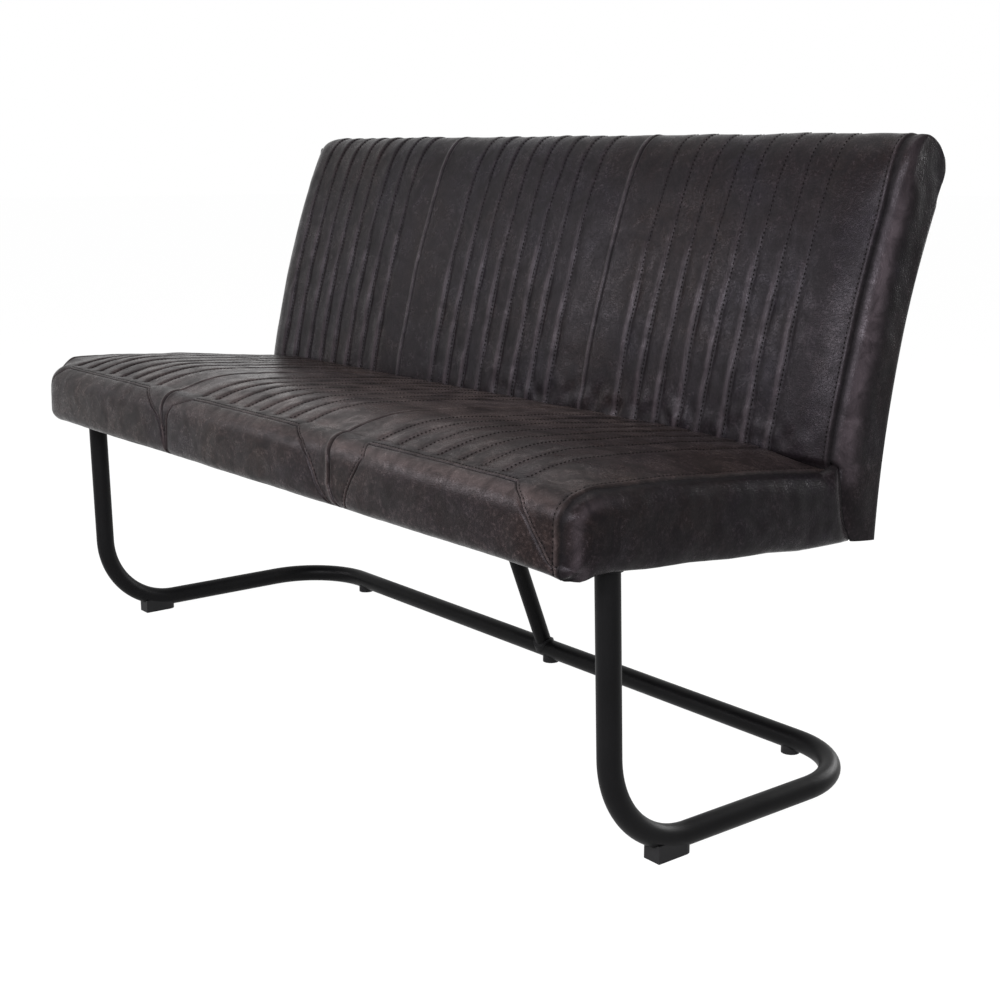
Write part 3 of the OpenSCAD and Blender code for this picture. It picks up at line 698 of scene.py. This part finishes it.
# Seams on the front, from the lower edge up to the band's top seam: places along the bench at six heights
heights_on_face = [408.0, 434.0, 450.0, 466.0, 484.0, 497.5]
side_seams = [
    (-716, -699, -688, -676, -661, -638), (-230, -236, -240, -252, -290, -326),
    (-224, -221, -219, -217, -210, -170), (251, 222, 212, 201, 176, 142),
    (293, 302, 312, 325, 333, 323), (718, 700, 688, 677, 661, 635)]
between_seams = [(-end_seam_x,) * 6, (-227, -228.5, -230, -234, -242, -section_seam_x),
                 (273, 257, 257.5, 258, 250, section_seam_x), (end_seam_x,) * 6]
band_half = 158


def seam_at(places, s):
    height = seat_height(*on_line(s, seat_path_s, seat_path))
    return np.interp(np.where(s >= band_top, heights_on_face[-1], height), heights_on_face, places)


def lumps(x, y, scale, seed, layer=0):
    return np.array([noise.noise(Vector((a * scale + seed, b * scale, layer * scale)))
                     for a, b in zip(np.ravel(x), np.ravel(y))]).reshape(np.shape(x))


def seat_relief(section, x, s):
    middle = seat_middles[section]
    below = 1 - ramp(s - band_top, 3.0)
    past = smooth(s, band_top + 8, band_top + 24)
    rise, groove, rub = channels(x, s, middle, past * (0.26 + 0.26 * np.exp(-(s - band_top) / 120)))
    groove = groove * past * 0.9
    rub = rub * past * 0.6
    rise += past * (0.9 + 1.9 * np.exp(-(s - band_top) / 130)) * pillow(x, middle)
    # The band swells between its side seams and rises out of the lower edge
    left, right = seam_at(side_seams[2 * section], s), seam_at(side_seams[2 * section + 1], s)
    inside = ramp(x - left, 4) * ramp(right - x, 4)
    share = np.clip((x - left) / np.maximum(right - left, 1), 0, 1)
    up = ramp(s - hem_end, band_top - hem_end)
    rise += below * inside * 6.0 * np.sqrt(4 * share * (1 - share)) * np.sin(up * math.pi).clip(0, 1) ** 0.5
    reach = ramp(s - hem_end, 14)
    for outward in (left - x, x - right):
        rise += below * reach * felled(outward)
        groove, rub = felled_marks(outward, below * reach, groove, rub)
    in_band = ramp(x - (middle - band_half), 3) * ramp(middle + band_half - x, 3) * (0.5, 0.75, 1.0)[section]
    rise += in_band * felled(s - band_top)
    groove, rub = felled_marks(s - band_top, in_band, groove, rub)
    # The roll of the band gets a lighter colour that is a painted highlight, strongest on the right section,
    # and the top where people sit is rubbed lighter by wear
    rub = np.maximum(rub, below * (0.1, 0.3, 0.75)[section] * bell(s, band_top - 15, 13))
    sat_on = 0.8 * smooth(x, -760, 0) - 0.55 * smooth(x, 250, 560)
    rub = np.maximum(rub, past * sat_on * (0.65 + 0.9 * lumps(x, s, 0.02, 51.0)))
    for k in (section, section + 1):
        if k in (1, 2):
            t = x - seam_at(between_seams[k], s)
            rise += reach * section_seam(t)
            # Painted shade in the seam line, and a painted highlight on the lip left of it
            groove = np.maximum(groove, reach * bell(t, 0, 1.5))
            rub = np.maximum(rub, reach * 0.7 * bell(t, -5.5, 2.4))
        else:
            inward = np.abs(x - section_edge[k])
            rise += end_seam(inward)
            groove, rub = end_seam_marks(inward, 0.4, groove, rub)
    return rise, groove, rub


roll_from = 656


def rolled(x):
    # Share from 0 to 1 by which a panel rolls back over its soft edge before it meets an end seam
    deep = ramp(np.abs(x) - roll_from, end_seam_x - roll_from)
    return (1 - np.sqrt(1 - (deep * 0.8) ** 2)) / 0.4


def seat_surface(section, x, s):
    v, w = on_line(s, seat_path_s, seat_path)
    nv, nw = on_line(s, seat_path_s, seat_path_n)
    rise, groove, rub = seat_relief(section, x, s)
    calm = ramp(s - hem_end, 20)
    rise = rise * calm + calm * (1.5 * lumps(x, s, 0.012, 3.1) + 0.6 * lumps(x, s, 0.045, 7.7))
    crown = 22 * (1 - np.abs(x / 725) ** 10) * (1 - (1 - ramp(v - edge_v, 110)) ** 2)
    crown = crown * np.clip((top_end + 24 - s) / 24, 0.75, 1)
    # The front corners roll back, more on the left, and the panel closes the gap behind at both ends
    front_roll = np.where(x < 0, 38.0, 13.0)
    roll = front_roll + (2.5 - front_roll) * smooth(s, top_start - 26, top_start + 26)
    rise = rise - calm * roll * rolled(x)
    rearward = (17 * ramp(v - 240, 90) ** 2 + 30 * smooth(s, top_end, seat_total)) * rolled(x)
    w = w + rolled(x) * np.maximum(seam_height(338) - 4 - w, 0) * smooth(s, top_end, top_end + 8)
    w = w + np.where(x < 0, 9.0, 0.0) * rolled(x) * smooth(v, edge_v - 25, edge_v + 30)
    rearward = rearward + np.where(x < 0, (1 - calm) * front_roll * rolled(x), 0)
    low_corner = ramp(np.abs(x) - 630, 94) ** 2 * (1 - smooth(s, hem_end, hem_end + 75))
    sag = np.where(x < 0, 1.5, 5.5) * low_corner
    return seat_points(x, v + nv * rise + rearward, w + nw * rise + crown - sag), groove, rub


def set_share(piece, name, values):
    attribute = piece.data.attributes.new(name, "FLOAT", "POINT")
    attribute.data.foreach_set("value", np.asarray(values, dtype=np.float32).ravel())


def cover_piece(name, surface, material, node, flip=False):
    points, groove, rub = surface
    rows, columns = points.shape[:2]
    piece = add_mesh(name, points.reshape(-1, 3), grid_faces(rows, columns, flip=flip), material)
    set_share(piece, "groove", groove)
    set_share(piece, "rub", rub)
    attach(piece, "root")
    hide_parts(node)


front_rows = np.unique(np.concatenate([
    np.linspace(0, hem_end, 6), np.linspace(hem_end, band_top - 12, 36),
    band_top + np.array([-12, -9, -7, -5.5, -4, -3, -2, -1, 0.0])]))
top_rows = np.unique(np.concatenate([
    band_top + np.array([0, 1, 2, 3, 4, 5, 6, 7, 8, 10, 12]), np.linspace(band_top + 12, top_start + 30, 18),
    np.linspace(top_start + 30, top_end, 80), np.linspace(top_end, seat_total, 12)]))
for section, name in enumerate(section_names):
    low, high = section_edge[section], section_edge[section + 1]
    columns = column_places(low, high, seat_middles[section], section == 0, section == 2)
    x, s = np.meshgrid(columns, top_rows)
    cover_piece("Seat_panel_" + name, seat_surface(section, x, s), seat_leather, "seat_panel_" + name)
    # The band's columns fan out with its side seams
    x, s = np.meshgrid(columns, front_rows)
    left, right = [seam_at(side_seams[2 * section + k], front_rows) for k in (0, 1)]
    start, stop = [seam_at(between_seams[section + k], front_rows) for k in (0, 1)]
    rows_at = line_places(seat_middles[section])
    for i in range(len(front_rows)):
        right_i = max(right[i], left[i] + 60)
        x[i] = np.interp(columns, [low, rows_at[0], rows_at[-1], high],
                         [start[i], max(left[i], start[i] + 3), min(right_i, stop[i] - 3), stop[i]])
    cover_piece("Seat_band_" + name, seat_surface(section, x, s), seat_leather, "seat_band_" + name)


# Seat ends
# Boxing panels close the seat at both ends. They bulge between a double seam along the top and front edge
# and the hem below, which is turned under the side board, and are sewn from the same leather. Their colour is
# its darker copy, as painted shade.
end_reach = 21.5

# The tucked fold where the seat's end meets the back's end: y and z from its top down
fold_y, fold_z = [384.0, 381.0, 387.0, 396.0, 412.0], [477.0, 455.0, 412.0, 388.0, 368.0]


def to_seat(y, z):
    y, z = np.asarray(y, dtype=float), np.asarray(z, dtype=float) - seat_low_z
    return np.stack([y * math.cos(tilt) - z * math.sin(tilt), y * math.sin(tilt) + z * math.cos(tilt)], -1)


def resample(line, count):
    run = run_along(line)
    return np.stack(on_line(np.linspace(0, run[-1], count), run, line), -1)


def swell(distance, radius):
    return np.sqrt(1 - (1 - ramp(distance, radius)) ** 2)


def seat_seam_line(side, s):
    points = seat_surface(2 if side > 0 else 0, np.full_like(s, side * end_seam_x), s)[0]
    return to_seat(points[..., 1] * 1000 + middle_y, points[..., 2] * 1000)


def nearest(place, line):
    return np.sqrt(((place[:, :, None, :] - line[None, None]) ** 2).sum(-1)).min(2)


def seat_end_grid(side):
    s_middle = path_distance(seat_path, seat_path_s, arc(edge_v, edge_w, edge_r, 138.0))
    front = seat_seam_line(side, np.linspace(hem_end * 0.5, s_middle, 90))
    rear = to_seat(fold_y, fold_z)[::-1]
    top = np.concatenate([seat_seam_line(side, np.linspace(s_middle, top_end, 300)), [rear[-1]]])
    lead = front[0][0]
    low = np.array([front[0], [lead + 4, -7.4], [lead + 10, -8.8], [lead + 21, -6.6], [-48.0, -3.2],
                    [-18.0, 0.4], [40.0, -1.5], [110.0, 0.5], [180.0, -1.2], [250.0, 0.8], [310.0, -1.5],
                    rear[0]])
    # The panel's points lie evenly between its four border lines
    along, up = 170, 48
    low_line, top_line = resample(low, along), resample(top, along)
    f, g = np.meshgrid(np.linspace(0, 1, along), np.linspace(0, 1, up) ** 0.85)
    level = np.round(g[:, 0] * 399).astype(int)
    front_line, rear_line = resample(front, 400)[level], resample(rear, 400)[level]
    f, g = f[..., None], g[..., None]
    place = ((1 - g) * low_line[None] + g * top_line[None]
             + (1 - f) * front_line[:, None] + f * rear_line[:, None])
    place = place - ((1 - f) * (1 - g) * low_line[0] + f * (1 - g) * low_line[-1]
                     + (1 - f) * g * top_line[0] + f * g * top_line[-1])
    v, w = place[..., 0], place[..., 1]
    to_seam = np.maximum(nearest(place, np.concatenate([front, top])[::2]) - 0.8, 0)
    to_seam[:, 0] = 0
    to_seam[-1] = 0
    to_low = w - np.interp(v, low_line[:, 0], low_line[:, 1])
    to_fold = nearest(place, rear_line)
    from_front = ramp(v - lead, 20)
    bottom = from_front * (0.4 + 0.6 * swell(to_low, 30)) + (1 - from_front) * swell(to_low + 2, 16)
    bulge = end_reach * swell(to_seam, 34 if side > 0 else 50) * bottom
    bulge = bulge * (1 - 0.30 * bell(to_fold, 0, 9))
    wave = 1.6 * lumps(v, w, 0.014, 2.3, side * 31) + 0.8 * lumps(v, w, 0.05, 5.9, side * 17)
    x = end_seam_x + bulge * 0.97 + wave * ramp(bulge, 12)
    # Painted shade in the seams and the fold, and a painted highlight on the roll behind the front seam and
    # beside the fold
    groove = np.maximum(bell(to_seam, 0, 1.6), 0.8 * bell(to_fold, 0, 3.0))
    rub = np.maximum(0.7 * bell(to_seam, 12, 6) * smooth(-v, -20, 60), 0.7 * bell(to_fold, 8, 4))
    # The hem is turned under the side board, over the dust cover's edge
    hem_w = 4.7
    v = np.concatenate([v[:1], v[:1], v])
    w = np.concatenate([0 * w[:1] + hem_w, 0.5 * (w[:1] + hem_w), w])
    x = np.concatenate([0 * x[:1] + 706, 0 * x[:1] + 718, x])
    plain = np.zeros_like(groove[:2])
    return seat_points(side * x, v, w), np.concatenate([plain, groove]), np.concatenate([plain, rub])


for side, name in ((-1, "left"), (1, "right")):
    cover_piece("Seat_end_" + name, seat_end_grid(side), shaded_leather_copy, "seat_end_" + name, flip=side < 0)


# Back cover
# Three channelled panels run up the curved front of the back and over its top roll to the rear seam.
# The same leather, with eight pin-tucked rows each, drawn back towards the end seams. Its darker copy paints
# it in shade.
back_middles = [-480.0, 9.0, 479.0]

# The front of the back is an arc in the side plane, from its low lean to where it bends into the top roll.
# The cover lies a little in front of that arc and starts a little above its low end.
back_r, low_lean, foot_lean, bend_lean, top_lean, roll_r = 1784.0, 9.4, 9.8, 20.4, 22.9, 46.0
cover_depth = -3.0
back_cy = 355.7 + back_r * math.cos(math.radians(low_lean))
back_cz = 468 - back_r * math.sin(math.radians(low_lean))


def back_at(depth, lean):
    return arc(back_cy, back_cz, back_r - depth, 180 - np.asarray(lean, dtype=float))


roll_y, roll_z = back_at(roll_r, top_lean)
crest = np.array([roll_y + 1.0, roll_z + roll_r + 2.0])
bend_from = back_at(cover_depth, bend_lean)
bend_way = np.array([math.sin(math.radians(bend_lean)), math.cos(math.radians(bend_lean))])
bend_t = np.linspace(0, 1, 60)[:, None]
bend = ((1 - bend_t) ** 3 * bend_from + 3 * (1 - bend_t) ** 2 * bend_t * (bend_from + 72 * bend_way)
        + 3 * (1 - bend_t) * bend_t ** 2 * (crest - [29.0, 0]) + bend_t ** 3 * crest)
back_path_s, back_path, back_path_n = path_of([
    [[352.5, 452.0], [351.6, 458.0], [352.8, 464.0]],
    back_at(cover_depth, np.linspace(foot_lean, bend_lean, 90)), bend[1:],
    arc(roll_y, roll_z, roll_r + 2.0, np.linspace(86, -top_lean, 40)),
    [[556.0, 832.0], [554.0, 828.0]]], rounds=40)
back_face_start = path_distance(back_path, back_path_s, back_at(cover_depth, foot_lean))
back_face_end = path_distance(back_path, back_path_s, bend_from)
back_crest = path_distance(back_path, back_path_s, crest)
back_total = back_path_s[-1]


def back_relief(section, x, s):
    middle = back_middles[section]
    foot = ramp(s - back_face_start + 8, 10)
    rear = ramp(back_total - s, 30)
    far_up = smooth(s, back_face_start + 170, back_face_end + 20)
    rise, groove, rub = channels(x, s, middle, rear * (1 - (0.5, 0.6, 0.74)[section] * far_up))
    # The painted highlight on the ridges fades towards the top
    rub = rub * (1 - 0.6 * far_up)
    rise += (0.3 + 0.7 * (1 - far_up)) * rear * pillow(x, middle)
    # The leather creases just above the seat, most on the right
    low_down = bell(s, back_face_start + 28, 22) * smooth(x, -260, 330) * (1 - 0.7 * smooth(x, 610, 700))
    rise += 4.5 * low_down * lumps(x * 1.6, s, 0.03, 31.3)
    for k in (section, section + 1):
        if k in (1, 2):
            t = x - section_edge[k]
            rise += section_seam(t) * (0.4 + 0.6 * rear)
            # Painted shade in the seam line, and a painted highlight on the lip left of it
            groove = np.maximum(groove, bell(t, 0, 1.5))
            rub = np.maximum(rub, 0.8 * bell(t, -5.5, 2.4))
        else:
            inward = np.abs(x - section_edge[k])
            rise += end_seam(inward)
            groove, rub = end_seam_marks(inward, 0.35, groove, rub)
    rise -= 6 * (1 - foot)
    # The crease at the foot, where the back meets the seat, is darkened with painted shade
    return rise, np.maximum(groove, 0.6 * (1 - foot)), rub


def back_surface(section, x, s):
    y, z = on_line(s, back_path_s, back_path)
    ny, nz = on_line(s, back_path_s, back_path_n)
    rise, groove, rub = back_relief(section, x, s)
    rise = rise + 1.6 * lumps(x, s, 0.010, 13.1) + 0.5 * lumps(x, s, 0.04, 17.7)
    rise = rise + 3.0 * smooth(s, back_face_end - 10, back_crest) * ramp(back_total - s, 30)
    # The face rolls back to its end seams, more on the left, and less over the crest
    over = np.where(x < 0, smooth(s, back_face_end + 60, back_crest + 20),
                    smooth(s, back_face_end + 10, back_crest))
    at_rear = smooth(s, back_total - 55, back_total - 12)
    over_roll = np.where(x < 0, 13.0 - 11.5 * at_rear, 1.5)
    rise = rise - (np.where(x < 0, 46.0, 17.5) * (1 - over) + over_roll * over) * rolled(x)
    return bench_points(x, y + ny * rise, z + nz * rise), groove, rub


back_rows = np.unique(np.concatenate([
    np.linspace(0, back_face_start + 6, 9), np.linspace(back_face_start + 6, back_face_end, 80),
    np.linspace(back_face_end, back_total, 56)]))
for section, name in enumerate(section_names):
    columns = column_places(section_edge[section], section_edge[section + 1], back_middles[section],
                            section == 0, section == 2)
    x, s = np.meshgrid(columns, back_rows)
    cover_piece("Back_panel_" + name, back_surface(section, x, s), shaded_leather_copy, "back_panel_" + name)


# Back ends
# Boxing panels close the back at both ends, sewn to the front panels with a double seam and to the rear
# cover. They bulge outwards over the posts' padding, and stay full up to the rear edge.
rear_x = 744.0


def rear_at(z):
    y = 1695 - np.sqrt(1250 ** 2 - (z - 317) ** 2) + 3 * (1 - smooth(z, 480, 740))
    return np.stack([y, z], -1)


def rear_edge_x(z):
    return rear_x - (rear_x - end_seam_x) * smooth(z, 806, 846)


def back_seam_line(side, s):
    points = back_surface(2 if side > 0 else 0, np.full_like(s, side * end_seam_x), s)[0]
    return np.stack([points[:, 1] * 1000 + middle_y, points[:, 2] * 1000], -1)


def back_end_grid(side):
    ease = np.sin(np.linspace(0, math.pi / 2, 52))
    face = back_seam_line(side, np.linspace(back_face_start + 2, back_face_end, 84))
    over = back_seam_line(side, back_face_end + (back_crest - back_face_end) * ease[1:])
    skirt = resample(np.stack([fold_y, fold_z], -1)[::-1], 26)[:-1]
    front = np.concatenate([skirt, face, over])
    rear_end = back_total - 8
    rear_over = back_seam_line(side, rear_end - (rear_end - back_crest) * ease[1:])
    rear_z = np.linspace(366.6, rear_over[0][1] - 1, len(skirt) + len(face))
    rear_side = rear_at(rear_z)
    step_in = rear_side[-1] - rear_over[0]
    rear_side = rear_side - step_in * (ramp(rear_z - 760, rear_z[-1] - 760) ** 2)[:, None]
    rear = np.concatenate([rear_side, rear_over])
    share = 0.5 - 0.5 * np.cos(np.linspace(0, math.pi, 37))
    place = front[:, None] * (1 - share)[None, :, None] + rear[:, None] * share[None, :, None]
    y, z = place[..., 0], place[..., 1]
    gap = np.linalg.norm(rear - front, axis=1)[:, None]
    near, far = share * gap, (1 - share) * gap
    in_skirt = ramp(len(skirt) - np.arange(len(front))[:, None], 8.0)
    from_x = end_seam_x + 9.0 * in_skirt
    to_x = np.concatenate([rear_edge_x(rear_z), np.full(len(rear_over), end_seam_x)])[:, None]
    base = from_x + (to_x - from_x) * share
    at_top = smooth(z, 790, 860)
    full = swell(near, 50 - 30 * at_top) * swell(far, 7 - 2 * at_top) * swell(gap, 10)
    full = full * (0.45 + 0.55 * swell(ramp(z - 366, 24), 1.0))
    x = base + (end_seam_x + end_reach - base) * full
    wave = 1.4 * lumps(y, z, 0.014, 4.3, side * 41) + 0.7 * lumps(y, z, 0.05, 8.9, side * 23)
    x = x + wave * ramp(x - end_seam_x, 12) * swell(far, 10)
    # Over the crest the filling also lifts the panel above its seam
    out = place - np.array([roll_y, roll_z])
    out = out / np.maximum(np.linalg.norm(out, axis=-1, keepdims=True), 1)
    rise = (1.0 if side < 0 else 2.5) * at_top * smooth(out[..., 1], -0.6, 0.5)
    edge = np.minimum(near, far) / 7.0
    lift = (rise * edge * np.exp(1 - edge))[..., None] * out
    # Painted shade in the seams, and a broad painted highlight on the roll beside the front seam, weaker near
    # the top
    groove = np.maximum(bell(near, 0, 1.6), bell(far, 0, 2.0) * 0.7)
    rub = 1.5 * bell(near, 16, 13) * (1 - in_skirt) * (1 - 0.7 * at_top)
    return bench_points(side * x, y + lift[..., 0], z + lift[..., 1]), groove, rub


for side, name in ((-1, "left"), (1, "right")):
    cover_piece("Back_end_" + name, back_end_grid(side), shaded_leather_copy, "back_end_" + name, flip=side > 0)


# Stitches
# Dark bonded thread runs along every tucked row, beside the seams of the bands and inside the end seams.
# Each stitch is 3.4 mm long, lies a little proud of the leather and dips into it at both ends.
thread_material = speckled("Bonded thread", (0.0015, 0.0013, 0.0013), (0.006, 0.005, 0.005),
                           gloss=(0.7, 0.85), grain=1800.0, patch=40.0, bump=0.00003, strength=0.4,
                           Specular_IOR_Level=0.04)
stitch_size, stitch_step = [0.0034, 0.0017, 0.001], 0.0066
stitch_shape = np.array([[-0.5, 0, -0.45], [-0.3, -0.5, 0], [-0.3, 0, 0.6], [-0.3, 0.5, 0], [0.3, -0.5, 0],
                         [0.3, 0, 0.6], [0.3, 0.5, 0], [0.5, 0, -0.45]]) * stitch_size
stitch_faces = [(0, 2, 1), (0, 3, 2), (1, 2, 5, 4), (2, 3, 6, 5), (4, 5, 7), (5, 6, 7), (1, 4, 6, 3),
                (0, 1, 3), (7, 6, 4)]


def sew(row, beside, across):
    run = run_along(row)
    at = np.arange(stitch_step / 2, run[-1] - stitch_step / 2, stitch_step)

    def along(line, where):
        return np.stack(on_line(where, run, line), -1)

    middle, way = along(row, at), along(row, at + 0.001) - along(row, at - 0.001)
    way /= np.linalg.norm(way, axis=1)[:, None]
    side = along(beside, at) - middle
    up = np.cross(way, side) if across else np.cross(side, way)
    up /= np.linalg.norm(up, axis=1)[:, None]
    side = np.cross(up, way)
    shape = stitch_shape[None]
    return (middle[:, None] + shape[..., :1] * way[:, None] + shape[..., 1:2] * side[:, None]
            + (shape[..., 2:] + 0.0003) * up[:, None]).reshape(-1, 3)


def thread_piece(name, rows):
    points = np.concatenate(rows)
    faces = [tuple(8 * k + i for i in face) for k in range(len(points) // 8) for face in stitch_faces]
    piece = add_mesh(name, points, faces, thread_material, rounded=False)
    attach(piece, "root")


def row_on(surface, section, x, s, across=False):
    row = surface(section, x, s)[0]
    beside = surface(section, x, s + 0.8)[0] if across else surface(section, x + 0.8, s)[0]
    return sew(row, beside, across)


seat_threads, back_threads = [], []
tuck_s = np.linspace(band_top + 15, top_end + 4, 90)
back_tuck_s = np.linspace(back_face_start + 4, back_total - 16, 130)
band_s = np.linspace(hem_end + 8, band_top - 1, 50)
for section in range(3):
    middle, back_middle = seat_middles[section], back_middles[section]
    for k in range(lines):
        x = line_places(middle)[k] + drift(k, middle, tuck_s) - 0.6
        seat_threads.append(row_on(seat_surface, section, x, tuck_s))
        x = line_places(back_middle)[k] + drift(k, back_middle, back_tuck_s) - 1.0
        back_threads.append(row_on(back_surface, section, x, back_tuck_s))
    x = np.linspace(middle - band_half + 1, middle + band_half - 1, 80)
    for offset in (0.0, second_row):
        seat_threads.append(row_on(seat_surface, section, x, np.full_like(x, band_top + offset), across=True))
    for k, outward in ((2 * section, -1), (2 * section + 1, 1)):
        for offset in (0.0, second_row):
            x = seam_at(side_seams[k], band_s) + outward * offset
            seat_threads.append(row_on(seat_surface, section, x, band_s))
for section, side in ((0, -1), (2, 1)):
    for surface, threads, s in (
            (seat_surface, seat_threads, np.linspace(hem_end + 4, top_end, 160)),
            (back_surface, back_threads, np.linspace(back_face_start + 4, back_total - 16, 150))):
        threads.append(row_on(surface, section, np.full_like(s, side * (end_seam_x - topstitch)), s))
thread_piece("Seat_stitches", seat_threads)
thread_piece("Back_stitches", back_threads)


# Back foam and webbing
# A foam pad lies behind the back's panels, cut from the same slab foam as the seat's and shaped to the roll.
# Four elastic straps behind it are stretched between the posts.
back_foam_outline = np.concatenate([
    back_at(16, np.linspace(9.6, 22.6, 24)),
    arc(roll_y, roll_z, 30.5, 180 - top_lean - np.array([36, 72, 108, 144, 176])),
    back_at(48.6, np.linspace(22.6, 9.6, 24))])
back_foam = slab("Back_foam", back_foam_outline, 690.0, 16, foam_material, bench_points)
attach(back_foam, "root")
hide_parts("back_foam")

# A strap's width is counted here in degrees of lean
web_points, web_faces = [], []
along, across, thick = strap_points(1444.0, 60, 1.0)
for lean in (12.2, 15, 17.8, 20.6):
    x, u = np.meshgrid(-722 + along, across * 2, indexing="ij")
    front, rear = [back_at(49.7 + depth, lean + u) for depth in (0, np.broadcast_to(1.3 * thick, u.shape))]
    add_strap(web_points, web_faces, bench_points(x, front[..., 0], front[..., 1]),
              bench_points(x, rear[..., 0], rear[..., 1]))
back_web = add_mesh("Back_straps", web_points, web_faces, strap_material)
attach(back_web, "root")
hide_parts("back_webbing")


# Rear cover
# One plain panel of the same leather closes the back from its top seam down over the seat's rear board, and
# is turned in under that. Its darker copy paints it in shade. It is pulled tight over the posts and dips
# slightly between them.
edge_shares = np.array([0.002, 0.005, 0.009, 0.013])
cover_share = np.unique(np.concatenate([np.linspace(-1, 1, 120), -1 + edge_shares, 1 - edge_shares]))
cover_low, cover_top = 366, 830
cover_z = np.concatenate([[369.4, 368.6, 367.6, 366.8], np.linspace(367.5, cover_top, 90)])
turned_in = np.concatenate([[36.0, 24.0, 12.0, 3.0], np.zeros(90)])[:, None]
x, z = np.meshgrid(cover_share, cover_z)
half = rear_edge_x(z) - np.minimum(turned_in, 15)
x = x * half
dip = 2.2 * np.cos(x / section_seam_x * math.pi) * np.sin((z - cover_low) / (cover_top - cover_low) * math.pi)
dip = dip + 1.4 * lumps(x, z, 0.008, 21.0) + 0.5 * lumps(x, z, 0.03, 24.0)
near_end = np.minimum(half - np.abs(x), 40)
inset = 4.0 * np.exp(-near_end / 3.0) + np.where(z > 815, 3.5 * np.exp(-(cover_top - z) / 4), 0)
y = rear_at(z)[..., 0] - 1.5 - inset + dip * 0.5 - turned_in
# Painted shade along the cover's ends, and a painted highlight just inside them
cover_piece("Rear_cover", (bench_points(x, y, z), bell(near_end, 0, 2.5), 0.5 * bell(near_end, 7, 3)),
            shaded_leather_copy, "back_rear_cover", flip=True)
